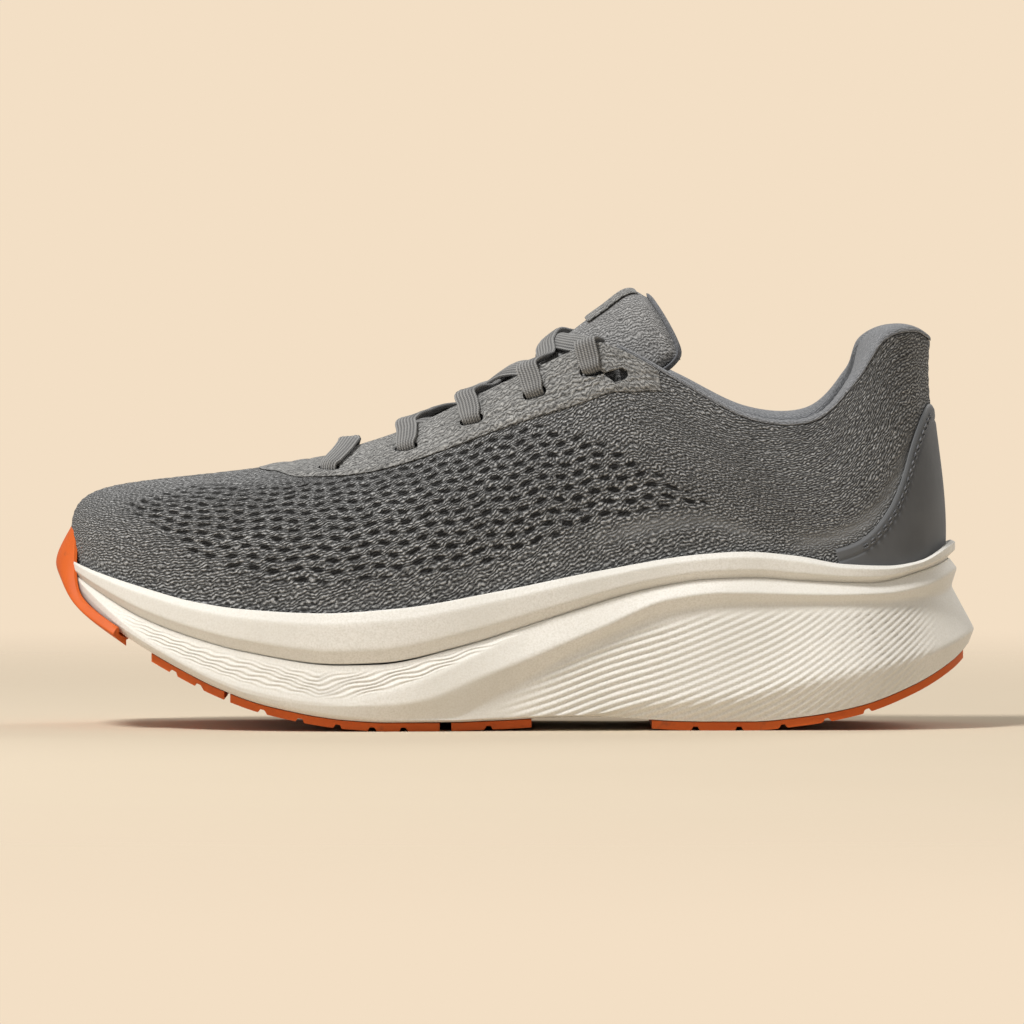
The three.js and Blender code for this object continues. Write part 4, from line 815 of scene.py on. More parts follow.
STIFF_LOOK = fibre_look("stiffener_board", (206, 201, 189), (190, 184, 170), 0.8, 0.08)
PADDING_LOOK = fibre_look("padding_foam", (214, 209, 196), (196, 190, 176), 1.8, 0.2)
AGLET_LOOK = aglet_look()


# ------------------------------------------------------------------ midsole
def fine_turns(pitch):
    fine = np.linspace(0, 1, 2001)
    step = np.maximum(np.linalg.norm(np.diff(plan(fine), axis=0), axis=1),
                      np.linalg.norm(np.diff(plan(2 - fine), axis=0), axis=1))
    length = np.concatenate([[0], np.cumsum(step)])
    return np.interp(np.linspace(0, length[-1], int(length[-1] / pitch) + 1), length, fine)


def rim_height(turn):
    """How far up the rib the foam rim reaches."""
    low, high = np.zeros_like(turn), np.full_like(turn, 0.5)
    for _ in range(30):
        middle = (low + high) / 2
        p = surface(turn, middle)
        under = p[..., 2] < bite_at(p[..., 0])
        low, high = np.where(under, middle, low), np.where(under, high, middle)
    return low


def rim_inside(turn):
    """The foam rim stands just outside the upper, up to the bite line: three rows from the foot up."""
    reach = rim_height(turn)
    clear = plan_normal(turn) * 1.4 * GAP
    rows = [surface(turn, s * reach) + clear for s in (0, 0.5, 1)]
    rows[0][..., 2] -= GAP
    return rows


def under_rim(turn, lower):
    def height(x):
        return np.minimum(lerp(crease_at(x), parting_at(x), 0.4), footbed_at(x) - 3.5) - lower
    return wall_point(turn, np.full(turn.shape, -RIB_FOOT_IN + 0.4), height)


ACROSS = 9


def parting_row(turn, lower):
    outer, inner = under_rim(turn, lower), under_rim(2 - turn, lower)
    base = outer[:, None, 2] + lower
    middle = across(outer, inner, ACROSS, lambda x, w: lerp(parting_at(x), base, w ** 4) - lower)
    return np.concatenate([outer[:, None], middle, inner[:, None]], 1)


def top_wall(turn):
    x = plan(turn)[..., 0]
    rows = rim_inside(turn) + [
        wall_point(turn, bite_out(x), bite_at),
        wall_point(turn, band_out(x), band_at(0.22)),
        wall_point(turn, band_out(x), band_at(0.74)),
        wall_point(turn, crease_out(x), crease_at),
    ]
    rounded, w = chaikin(np.stack(rows, 1), range(len(rows)), 2, 0.28)
    wanted = np.concatenate([np.linspace(0, 2, 5)[:-1], np.linspace(2, len(rows) - 1, 44)])
    return resample(rounded, w, wanted)


# Rows of mesh between the feature lines of the carrier's wall, most of them where its relief is.
FOREFOOT_ROWS = (40, 8, 8, 28, 10)
HEEL_ROWS = (6, 8, 8, 50, 22)


def rows_between(counts):
    return np.concatenate([k + np.arange(n) / n for k, n in enumerate(counts)] + [[len(counts)]])


def carrier_wall(turn):
    x = plan(turn)[..., 0]
    rows = [
        wall_point(turn, crease_out(x), lambda at: crease_at(at) - PARTING),
        wall_point(turn, ridge_out(x), ridge_at),
        wall_point(turn, face_low_out(x), face_low_at),
        wall_point(turn, under_out(x), under_at),
        wall_point(turn, flank_out(x), flank_at),
        wall_point(turn, tread_out(x), bottom_at),
    ]
    rounded, w = chaikin(np.stack(rows, 1), range(len(rows)), 2, 0.22)
    heelward = smoothstep(x, -30, 20)[:, None]
    wanted = lerp(rows_between(FOREFOOT_ROWS), rows_between(HEEL_ROWS), heelward)
    p = resample(rounded, w, wanted)
    return p + plan_normal(turn)[:, None] * foam_relief(p, wanted)[..., None]


RIPPLE, RIPPLE_PITCH, CHEVRON_X, CHEVRON_SLOPE = 0.24, 1.35, -62, 0.28
RIB, RIB_PITCH, RIB_SLOPE, RIB_STEEPER, STEEPER_FROM = 0.38, 2.3, 0.34, 0.0045, 60


def foam_relief(p, w):
    """Moulded lines: fine chevrons in the forefoot recess, and slanted ribs down the flank of the heel."""
    x, z = p[..., 0], p[..., 2]
    wander = 0.35 * np.sin(x / 3.1 + 0.6 * z) + 0.25 * np.sin(x / 1.7 - z)
    chevron = z - CHEVRON_SLOPE * np.abs(x - CHEVRON_X) + wander
    ripple = RIPPLE * np.sin(2 * pi * chevron / RIPPLE_PITCH)
    ripple = ripple * smoothstep(w, 0.12, 0.3) * (1 - smoothstep(w, 0.72, 0.92))
    ripple = ripple * smoothstep(x, -132, -112) * (1 - smoothstep(x, -8, 6))
    lean = RIB_SLOPE * x + RIB_STEEPER * np.maximum(x - STEEPER_FROM, 0) ** 2
    phase = (z - lean + 0.3 * np.sin(x / 6.3)) / RIB_PITCH
    ridge = np.abs(np.cos(pi * phase)) * 2 - 1.2
    ribs = RIB * ridge * smoothstep(w, 3.03, 3.18) * (1 - smoothstep(w, 4.86, 5))
    ribs = ribs * smoothstep(x, -8, 20) * (1 - smoothstep(x, 124, 138))
    return ripple + ribs


FOAM_STEP = 0.73  # millimetres of mesh along the foam


def midsole():
    turn = fine_turns(FOAM_STEP)
    inner_turn = 2 - turn
    outer, inner = top_wall(turn), top_wall(inner_turn)
    bed = across(inner[:, 0], outer[:, 0], ACROSS, lambda x, _: footbed_at(x))
    rings = np.concatenate([outer, parting_row(turn, 0), inner[:, ::-1], bed], 1)
    top = loft("midsole_top", rings, FOAM, "shoe")
    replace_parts(top, "midsole_top_layer")
    outer, inner = carrier_wall(turn), carrier_wall(inner_turn)
    sole = across(outer[:, -1], inner[:, -1], ACROSS, lambda x, _: bottom_at(x))
    rings = np.concatenate([outer, sole, inner[:, ::-1], parting_row(turn, PARTING)[:, ::-1]], 1)
    carrier = loft("midsole_base", rings, FOAM, "shoe")
    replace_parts(carrier, "midsole_carrier")


# ------------------------------------------------------------------ outsole
RUBBER_INSET = 0.8
TREAD = 1.2
GROOVE_HALF = 1.05
SIPE, SIPE_PITCH = 0.5, 5.5
MIDDLE_SLOT = 0.05
POD_ROWS = [[-116, -92.4, [-108.6, -100.4]], [-90.4, -23.4, [-80, -68, -56, -45, -35]], [-19.6, 6, [-8]]]
HEEL_PODS = [44, 138.6, [58, 72, 86, 100, 113]]


def side_at_x(x):
    """The turn on the outer side where the plan outline reaches this x."""
    fine = np.linspace(0, 1, 4001)
    return np.interp(x, plan(fine)[:, 0], fine)


def sole_edge(turn):
    return wall_point(turn, tread_out(plan(turn)[..., 0]) - RUBBER_INSET, bottom_at)


def tread_pod(name, from_x, to_x, low, high, grooves):
    """One rubber pod: grooves across it, and finer slanted sipes between them, cut into its underside."""
    turn = np.interp(np.linspace(0, 1, int((to_x - from_x) / 0.45)), [0, 1],
                     [side_at_x(from_x), side_at_x(to_x)])
    share = np.linspace(low, high, 40)
    edge, far = sole_edge(turn)[:, None], sole_edge(2 - turn)[:, None]
    p = lerp(edge, far, share[None, :, None])
    x, y = p[..., 0], p[..., 1]
    p[..., 2] = bottom_at(x)
    cut = np.max([1 - smoothstep(np.abs(x - g), GROOVE_HALF - 0.3, GROOVE_HALF + 0.3) for g in grooves], 0)
    sipe = 1 - smoothstep(np.abs(np.mod(x + 0.45 * np.abs(y), SIPE_PITCH) - SIPE_PITCH / 2), 0.25, 0.7)
    inside = smoothstep(share, low + 0.02, low + 0.04) * (1 - smoothstep(share, high - 0.04, high - 0.02))
    depth = GAP + RUBBER - np.maximum(TREAD * cut, SIPE * sipe * inside)
    top, bottom = p.copy(), p.copy()
    top[..., 2] -= GAP
    bottom[..., 2] -= depth
    grid = grid_faces(turn.size, share.size)[:, ::-1]
    made = closed_sheet(name, top, bottom, grid, RUBBER_LOOK, "shoe", p[..., :2])
    shade_by_angle(made)
    return made


def shade_by_angle(made, angle=40):
    """Keeps corners sharper than this angle crisp."""
    made.data.set_sharp_from_angle(angle=radians(angle))


BUMPER_REAR_X, BUMPER_TOP, BUMPER_SIDE, BUMPER_THICK = -124.5, 66.5, 3.0, 2.8
BUMPER_LEAN = 4.2  # how far its top leans onto the toe


def toe_wrap():
    """Rubber under the toe, from its rear edge to the tip, then up the front of the toe."""
    reach = float(side_at_x(BUMPER_REAR_X))
    a = np.linspace(-1, 1, 161)
    turn = a * reach
    crest = BUMPER_TOP - bite_at(TOE_X)
    at_front = np.exp(-((a / 0.42) ** 4))
    rise = BUMPER_SIDE + (crest + BUMPER_SIDE) * at_front
    chord = wall_point(turn, np.full(a.shape, -RUBBER_INSET), bottom_at)
    edges = wall_point(np.array([reach, -reach]), np.full(2, -2.0), bottom_at)
    rear = np.stack([np.full(a.shape, plan(reach)[0]), lerp(edges[0, 1], edges[1, 1], (1 - a) / 2),
                     np.zeros(a.shape)], 1)
    clear_of = np.maximum(np.maximum(band_out(chord[:, 0]), ridge_out(chord[:, 0])), 0.1) + 0.6

    def under(b, depth):
        p = lerp(rear, chord, b)
        p[:, 2] = bottom_at(p[:, 0]) - depth
        return p

    def front(c, out):
        base = wall_point(turn, out - BUMPER_LEAN * c ** 3 * at_front, bottom_at)
        top = np.maximum(bite_at(chord[:, 0]), bottom_at(chord[:, 0]))
        base[:, 2] = np.minimum(bottom_at(chord[:, 0]) + rise * c, top + rise)
        return base

    shares, lifts = [0, 0.5, 0.86], [0.12, 0.45, 1]
    inside = [under(b, 2 * GAP) for b in shares] + [front(c, clear_of) for c in lifts]
    outside = [front(c, clear_of + BUMPER_THICK * (0.35 if c == 1 else 1)) for c in reversed(lifts)]
    outside += [under(b, GAP + BUMPER_THICK * (0.5 if b == 0 else 1)) for b in reversed(shares)]
    smooth_in, _ = chaikin(np.stack(inside, 1), range(6), 3)
    smooth_out, _ = chaikin(np.stack(outside, 1), range(6), 3)
    rings = np.concatenate([smooth_in, smooth_out], 1)
    made = new_mesh("toe_wrap", rings, ribbon_faces(*rings.shape[:2]), RUBBER_LOOK, "shoe", rings[..., :2])
    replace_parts(weld(made), "outsole_toe_wrap")
    shade_by_angle(made)


def outsole():
    for side, low, high in (("lateral", 0, 0.5 - MIDDLE_SLOT), ("medial", 0.5 + MIDDLE_SLOT, 1)):
        for i, (start, end, grooves) in enumerate(POD_ROWS):
            made = tread_pod(f"tread_forefoot_{side}_{i + 1}", start, end, low, high, grooves)
            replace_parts(made, f"outsole_forefoot_{side}_{i + 1}")
        made = tread_pod(f"tread_heel_{side}", *HEEL_PODS[:2], low, high, HEEL_PODS[2])
        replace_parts(made, f"outsole_heel_{side}")
    toe_wrap()


# ------------------------------------------------------------------ upper
def bump_at(x, centre, width):
    return np.exp(-((x - centre) / width) ** 2)


def slit_lattice(u, w):
    """Staggered slits of the open knit, at u and w millimetres on the cloth: 1 in a slit and 0 outside."""
    u, w = u + DRIFT_ALONG * np.sin(DRIFT_ALONG_RATE * w), w + DRIFT_ACROSS * np.sin(DRIFT_ACROSS_RATE * u)
    row = np.floor(w / SLIT_ROW)
    a = np.mod(u / SLIT_PITCH + 0.5 * np.mod(row, 2), 1) - 0.5
    b = np.mod(w / SLIT_ROW, 1) - 0.5
    return 1 - smoothstep(np.hypot(a * SLIT_PITCH / SLIT_LONG, b * SLIT_ROW / SLIT_HIGH), 0.55, 1.1)


def open_zone(turn, v):
    """Where the knit is open: the side of the forefoot, and a wedge behind it at the waist."""
    s = side_of(turn)
    fore = smoothstep(s, 0.08, 0.13) * (1 - smoothstep(s, 0.48, 0.58))
    low = 0.16 + 0.22 * (1 - smoothstep(s, 0.1, 0.32))
    fore = fore * smoothstep(v, low, low + 0.08) * (1 - smoothstep(v, 0.66, 0.75))
    waist = smoothstep(s, 0.42, 0.5) * (1 - smoothstep(s, 0.66, 0.7))
    low = 0.16 + 0.5 * np.maximum(s - 0.45, 0)
    high = 0.72 - 2.8 * np.maximum(s - 0.53, 0)
    waist = waist * smoothstep(v, low, low + 0.06) * (1 - smoothstep(v, high - 0.03, high + 0.02))
    return np.clip(np.maximum(fore, waist * 0.6), 0, 1)


def slits(turn, v):
    return slit_lattice(along_at(turn), v * CLOTH_HEIGHT) * open_zone(turn, v)


def band_line(turn):
    """Height up the rib of the smooth band that rises from the waist to the heel."""
    return 0.2 + 1.9 * (side_of(turn) - 0.735)


def plain_zone(turn, v):
    """Smooth knit: the band up to the heel, a line at the waist and the lower edge."""
    s = side_of(turn)
    band = bump_at(v, band_line(turn), 0.045) * smoothstep(s, 0.72, 0.75) * (1 - smoothstep(s, 0.92, 0.97))
    waist_line = 0.15 + 0.45 * np.maximum(s - 0.45, 0) - 1.4 * np.maximum(s - 0.66, 0)
    waist = bump_at(v, waist_line, 0.03) * smoothstep(s, 0.55, 0.6) * (1 - smoothstep(s, 0.68, 0.72)) * 0.7
    low = (1 - smoothstep(v, 0.06, 0.12)) * 0.25
    return np.clip(np.maximum(np.maximum(band, waist), low), 0, 1)


WALE = 2.9  # pitch of the shallow slanted lines


def knit_depth(turn, v):
    relief = 0.4 * slits(turn, v) + 0.45 * plain_zone(turn, v) + 0.25 * open_zone(turn, v)
    wale = 0.1 * np.sin(2 * pi * (v * CLOTH_HEIGHT - 0.12 * along_at(turn)) / WALE)
    s = side_of(turn)
    fold = 0.45 * bump_at(v, 0.27 + 0.12 * np.sin((s - 0.5) * 9), 0.018)
    return relief + wale + fold * smoothstep(s, 0.5, 0.53) * (1 - smoothstep(s, 0.6, 0.66))


def constant(value):
    return lambda turn, v: np.full(np.shape(turn), float(value))


def knit():
    turns = even_turns(0, 2, 1.12)[:-1]
    rows = np.repeat(np.linspace(0, 1, 76)[None], len(turns), 0)
    made = shell("upper_knit", turns, rows, knit_depth, constant(KNIT), KNIT_LOOK, "shoe", wrap=True,
                 holes=EYELET_SLOTS, masks={"open": open_zone, "plain": plain_zone})
    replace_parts(made, "knit_upper")


EYESTAY_END = 0.68
eyestay_foot = through([[0, 0.9], [0.14, 0.86], [0.26, 0.745], [0.36, 0.705], [0.5, 0.72], [0.58, 0.73],
                        [0.64, 0.79], [EYESTAY_END, 0.9]])


PRESSED_LINE = 0.3


def overlay():
    turns = even_turns(-EYESTAY_END, EYESTAY_END, 0.9)
    foot = eyestay_foot(np.abs(turns))
    rows = lerp(foot[:, None], 1.0, np.linspace(0, 1, 44)[None])

    def outer(turn, v):
        edge = v - eyestay_foot(side_of(turn))
        end = EYESTAY_END - side_of(turn)
        fall = smoothstep(edge, 0, 0.025) * smoothstep(end, 0, 0.012)
        lines = bump_at(edge, 0.05, 0.008) + bump_at(edge, 0.08, 0.008) + bump_at(edge, 0.16, 0.01)
        return -GAP - OVERLAY * (0.12 + 0.88 * fall) + PRESSED_LINE * lines

    made = shell("eyestay_film", turns, rows, outer, constant(-GAP), FILM, "shoe", holes=FILM_SLOTS)
    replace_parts(made, "eyestay_overlay")


PANEL_FOOT, PANEL_TOP, PANEL_FRONT = 0.2, 0.73, 0.77
panel_top = through([[PANEL_FRONT, PANEL_FOOT], [0.8, 0.255], [0.845, 0.36], [0.885, 0.47], [0.92, 0.58],
                     [0.95, 0.665], [0.975, 0.715], [1, PANEL_TOP]])


def heel_panel():
    turns = even_turns(PANEL_FRONT + 0.002, 2 - PANEL_FRONT - 0.002, 0.7)
    top = panel_top(side_of(turns))
    foot = np.minimum(rim_height(turns) - 0.012, top - 0.02)
    rows = lerp(foot[:, None], top[:, None], np.linspace(0, 1, 66)[None])

    def outer(turn, v):
        edge = panel_top(side_of(turn)) - v
        rolled = smoothstep(edge, -0.004, 0.02)
        groove = 0.35 * bump_at(edge, 0.062, 0.008)
        return -GAP - HEEL_PANEL * (0.25 + 0.75 * rolled) + groove

    made = shell("heel_cover", turns, rows, outer, constant(-GAP), PANEL, "shoe")
    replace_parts(made, "heel_panel")
    for k, below in enumerate((0.035, 0.05)):
        stitch_line(f"heel_stitching_{k + 1}", below)


STITCH, STITCH_PITCH, THREAD = 2.0, 3.0, 0.28


def stitch_line(name, below):
    """Thread stitches along the panel's front edge, a share of the rib below it."""
    fine = np.linspace(PANEL_FRONT + 0.03, 2 - PANEL_FRONT - 0.03, 4000)
    path = layer(fine, panel_top(side_of(fine)) - below, np.full(fine.shape, -GAP - HEEL_PANEL))
    length = lengths_along(path)
    starts = np.arange(1, length[-1] - STITCH, STITCH_PITCH)
    starts = starts[side_of(np.interp(starts, length, fine)) < 0.965]
    shape = np.linspace(-1, 1, 7)
    at = starts[:, None] + STITCH * (shape + 1) / 2
    centre = np.stack([np.interp(at, length, path[:, c]) for c in range(3)], -1)
    turn = np.interp(at, length, fine)
    normal = surface_normal(turn, panel_top(side_of(turn)) - below)
    along = unit(np.gradient(centre, axis=1))
    across_way = unit(np.cross(along, normal))
    angle = np.linspace(0, 2 * pi, 8, endpoint=False)
    thick = THREAD * np.sqrt(np.maximum(1 - shape ** 2, 0.04))
    lift = (0.12 + 0.14 * (1 - shape ** 2))[None, :, None, None]
    rings = (centre[:, :, None] + normal[:, :, None] * lift
             + (across_way[:, :, None] * np.cos(angle)[:, None] + normal[:, :, None] * np.sin(angle)[:, None])
             * thick[None, :, None, None])
    k, n, m = rings.shape[:3]
    one = grid_faces(n, m, False, True)
    ends = [[[0, 1, 2, 3], [0, 3, 4, 7], [4, 5, 6, 7]], [[3, 2, 1, 0], [7, 4, 3, 0], [7, 6, 5, 4]]]
    one = np.concatenate([one, np.array(ends[0]), np.array(ends[1]) + (n - 1) * m])
    faces = (one[None] + (np.arange(k) * n * m)[:, None, None]).reshape(-1, 4)
    made = new_mesh(name, rings, faces, BINDING_LOOK, "shoe", rings[..., :2].reshape(-1, 2))


LINING_FROM, LINING_FOOT, LINING_STEP = 0.63, 0.04, 0.9
ROLL_SHARE, ROLL_CLEARANCE, ROLL_TURN = 0.13, 0.2, 0.85 * pi


def collar_lining():
    """The lining covers the padding inside and rolls over the topline to a seam on the outside."""
    turns = even_turns(LINING_FROM + 0.005, 2 - LINING_FROM - 0.005, LINING_STEP)
    far = lining_depth(turns, np.ones_like(turns))
    top, normal = surface(turns, 1.0), surface_normal(turns, 1.0)
    rise_way = up_direction(turns, 1.0)

    def face(extra):
        rows = []
        for angle in np.linspace(0, ROLL_TURN, 15):
            radius = far / 2 + extra * (0.15 + 0.85 * smoothstep(angle, 0, 0.9))
            depth = far / 2 - radius * np.cos(angle)
            rise = (ROLL_SHARE * far + extra) * np.sin(angle) + ROLL_CLEARANCE
            rows.append(top - normal * depth[:, None] + rise_way * rise[:, None])
        for v in np.linspace(1, LINING_FOOT, 44):
            v = np.full(turns.shape, v)
            rows.append(layer(turns, v, lining_depth(turns, v) + extra))
        return np.stack(rows, 1)

    outer, inner = face(LINING), face(0)
    n, m = outer.shape[:2]
    down = np.cumsum(np.linalg.norm(np.diff(outer, axis=1), axis=-1), 1)
    v = np.concatenate([np.zeros((n, 1)), down], 1)
    uv = np.stack([np.repeat(np.arange(n)[:, None] * LINING_STEP, m, 1), v], -1)
    made = closed_sheet("collar_lining_cloth", outer, inner, grid_faces(n, m), LINING_LOOK, "shoe", uv)
    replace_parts(made, "collar_lining")


# ------------------------------------------------------------------ tongue
tongue_line, tongue_arch = through(TONGUE_LINE), through(TONGUE_ARCH)
TIP_SLOPE = radians(34)
TONGUE_LENGTH, TONGUE_GIRTH = 135, 72  # of its cloth


def tongue_point(share, w, depth):
    """A point of the tongue: share 0 is its root and 1 its tip, w -1 to 1 its width."""
    share, w, depth = np.broadcast_arrays(*(np.asarray(value, float) for value in (share, w, depth)))
    line = tongue_line(share)
    along = unit(tongue_line(np.minimum(share + 0.02, 1)) - tongue_line(np.maximum(share - 0.02, 0)))
    tip = np.array([np.cos(TIP_SLOPE), np.sin(TIP_SLOPE)])
    along = unit(lerp(along, tip, smoothstep(share, 0.6, 0.8)[..., None]))
    middle, half, drop = np.moveaxis(tongue_arch(share), -1, 0)
    angle = w * radians(TONGUE_SPAN)
    slope_y, slope_fall = half * np.cos(angle), drop * np.sin(angle)
    size = np.hypot(slope_y, slope_fall)
    total = drop * (1 - np.cos(angle)) + slope_y / size * depth
    y = middle + half * np.sin(angle) - slope_fall / size * depth
    return np.stack([line[..., 0] + along[..., 1] * total, y, line[..., 1] - along[..., 0] * total], -1)


TONGUE_FACE, TONGUE_FOAM = 1.1, 4
FACE_DEPTHS = (0, TONGUE_FACE + GAP + TONGUE_FOAM)
LINING_DEPTHS = (TONGUE_FACE + 2 * GAP + TONGUE_FOAM, TONGUE_THICK)


def tip_share(w):
    return 1 - 0.05 * w ** 4


TONGUE_HALF = 0.985  # of its width, up to the binding


def pad_end(w):
    """Where the foam and the lining end, just under the binding."""
    return tip_share(w) - 0.015


def tongue_sheet(name, start, end_at, depths, columns, rows, half_span, material):
    """A sheet of the tongue with rounded edges."""
    w = np.linspace(-half_span, half_span, columns)[:, None]
    b = np.linspace(0, 1, rows)[None]
    share = start + (end_at(w) - start) * b
    w = np.broadcast_to(w, share.shape)
    edge = np.minimum(half_span - np.abs(w), 0.25)
    soft = smoothstep(edge / 0.06, 0, 1) * smoothstep(b / 0.04, 0, 1) * smoothstep((1 - b) / 0.04, 0, 1)
    middle, half = (depths[0] + depths[1]) / 2, (depths[1] - depths[0]) / 2
    thick = half * lerp(0.45, 1, soft)
    outer, inner = (tongue_point(share, w, middle + sign * thick) for sign in (-1, 1))
    uv = np.stack([share * TONGUE_LENGTH, w * TONGUE_GIRTH / 2], -1)
    return closed_sheet(name, outer, inner, grid_faces(*share.shape), material, None, uv)


def bend_at_hinge(made):
    """Bakes a piece of the tongue's placement into its mesh; it is not bent at the flap's joint."""
    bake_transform(made)


def tongue():
    body = tongue_sheet("tongue_pad", 0, pad_end, FACE_DEPTHS, 90, 170, TONGUE_HALF, TONGUE_LOOK)
    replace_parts(body, "tongue_lower_face", "tongue_flap_face", "tongue_lower_foam", "tongue_flap_foam")
    bend_at_hinge(body)
    back = tongue_sheet("tongue_back", 0, pad_end, LINING_DEPTHS, 60, 120, TONGUE_HALF, LINING_LOOK)
    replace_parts(back, "tongue_lower_lining", "tongue_flap_lining")
    bend_at_hinge(back)
    strip = tongue_sheet("tongue_strip", FLAP_START + 0.02, lambda w: np.full_like(w, 0.95),
                         (-GAP - 0.85, -GAP - 0.1), 30, 60, 0.22, FILM)
    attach(strip, "tongue_flap")
    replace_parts(strip, "tongue_flap_panel")
    binding()


def binding():
    """Tape folded over the flap's edge: down one side, round the tip and down the other."""
    start, corner, clear, wide = FLAP_START + 0.004, TONGUE_HALF, 0.2, 1.1
    s = np.linspace(0, 1, 60)
    up_side, round_tip = lerp(start, 0.9, s)[:-1], tip_share(lerp(-1, 1, s)) - 0.01
    share = np.concatenate([up_side, round_tip, up_side[::-1]])
    w = np.concatenate([np.full(59, -1.0), lerp(-corner, corner, s), np.full(59, 1.0)])
    for _ in range(6):
        share[1:-1] = (share[:-2] + 2 * share[1:-1] + share[2:]) / 4
        w[1:-1] = (w[:-2] + 2 * w[1:-1] + w[2:]) / 4
    half = TONGUE_THICK / 2
    here = tongue_point(share, w, half)
    along = unit(np.gradient(here, axis=0))
    across_way = unit(tongue_point(share, w, 0) - tongue_point(share, w, TONGUE_THICK))
    outward = unit(np.cross(across_way, along))
    inside = tongue_point(0.84, 0, half)
    outward = outward * np.sign(np.sum(outward * (here - inside), -1, keepdims=True))
    angle = np.linspace(-pi / 2, pi / 2, 14)
    out = np.concatenate([clear + wide * np.cos(angle), [clear - 0.4, clear - 0.4]])
    up = np.concatenate([half * np.sin(angle), [half * 0.7, -half * 0.7]])
    rings = here[:, None] + outward[:, None] * out[None, :, None] + across_way[:, None] * up[None, :, None]
    n, m = rings.shape[:2]
    uv = np.stack(np.broadcast_arrays(lengths_along(here)[:, None], np.arange(m)[None] * 0.8), -1)
    made = weld(new_mesh("tongue_tape", rings, ribbon_faces(n, m), BINDING_LOOK, "tongue_flap", uv))
    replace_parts(made, "tongue_flap_binding")


# ------------------------------------------------------------------ lace
OVER_FACE = OVERLAY + GAP + LACE_CLEARANCE + LACE / 2
UNDER_FACE_DEPTH = KNIT + GAP + BACKING + LACE_CLEARANCE + LACE / 2
ON_TONGUE = 2 * LACE_CLEARANCE + LACE / 2
CROSSING = LACE + LACE_CLEARANCE
SLOT_LACE, END_LACE, EDGE_LIFT = 0.86, 0.36, 1.6
LACE_SPREAD = 1.1  # how much wider than its woven width the lace lies
LACE_STEP = 0.75  # millimetres from ring to ring


def eyelet_keys(f):
    """Keys of one eyelet as (point, across, width), from the throat's edge outside to the edge inside."""
    room = np.linalg.norm(surface(f.turn, 1.0) - f.centre)

    def by(up, depth):
        return layer(f.turn, f.v + (1 - f.v) * up / room, depth)

    def at_edge(share, depth):
        return layer(f.turn, lerp(f.v, 1, share), depth)

    places = [
        (at_edge(1, -OVER_FACE - EDGE_LIFT), 1), (at_edge(0.6, -OVER_FACE - EDGE_LIFT / 2), 1),
        (by(3, -OVER_FACE - 0.1), 1), (by(0, -OVER_FACE + 0.5), SLOT_LACE),
        (by(0, UNDER_FACE_DEPTH - 0.3), SLOT_LACE), (by(3, UNDER_FACE_DEPTH + 0.95), 0.85),
        (at_edge(0.7, UNDER_FACE_DEPTH + 0.8), 1), (at_edge(1, UNDER_FACE_DEPTH + 0.4), 1)]
    return [(point, f.along, width) for point, width in places]


def crossing(start, end, lift):
    """Keys across the tongue, resting on its face or on the other strand."""
    fine = np.linspace(0, 1, 2001)
    made = []
    for s in (0.2, 0.35, 0.5, 0.65, 0.8):
        straight = lerp(start[0], end[0], s)
        share = np.interp(straight[0], tongue_line(fine)[:, 0], fine)
        middle, half, _ = tongue_arch(share)
        w = np.arcsin(np.clip((straight[1] - middle) / half, -1, 1)) / radians(TONGUE_SPAN)
        rest = tongue_point(share, w, -ON_TONGUE)
        rest[2] = max(rest[2], straight[2]) + lift * CROSSING * np.sin(pi * s)
        made.append((rest, unit(tongue_point(share + 0.03, w, 0) - tongue_point(share - 0.03, w, 0)), 1))
    return made


def tail_keys(is_inner):
    turns = [2 - side if is_inner else side for side, _, _ in TAIL]
    points = [layer(turn, v, depth) for turn, (_, v, depth) in zip(turns, TAIL)]
    made = []
    for i, (turn, (_, v, _)) in enumerate(zip(turns, TAIL)):
        before, after = points[max(i - 1, 0)], points[min(i + 1, len(points) - 1)]
        way = unit(np.cross(surface_normal(turn, v), after - before))
        made.append((points[i], way, END_LACE if i == len(points) - 1 else 1))
    return made


def lace_half(start_inner, lift):
    keys = eyelet_keys(Slot(0, start_inner))
    is_inner = start_inner
    for i in range(1, LACED):
        is_inner = not is_inner
        following = eyelet_keys(Slot(i, is_inner))
        if i < LACED - 1:
            following.reverse()
        keys += crossing(keys[-1], following[0], lift) + following
    return keys[:-3] + tail_keys(is_inner)


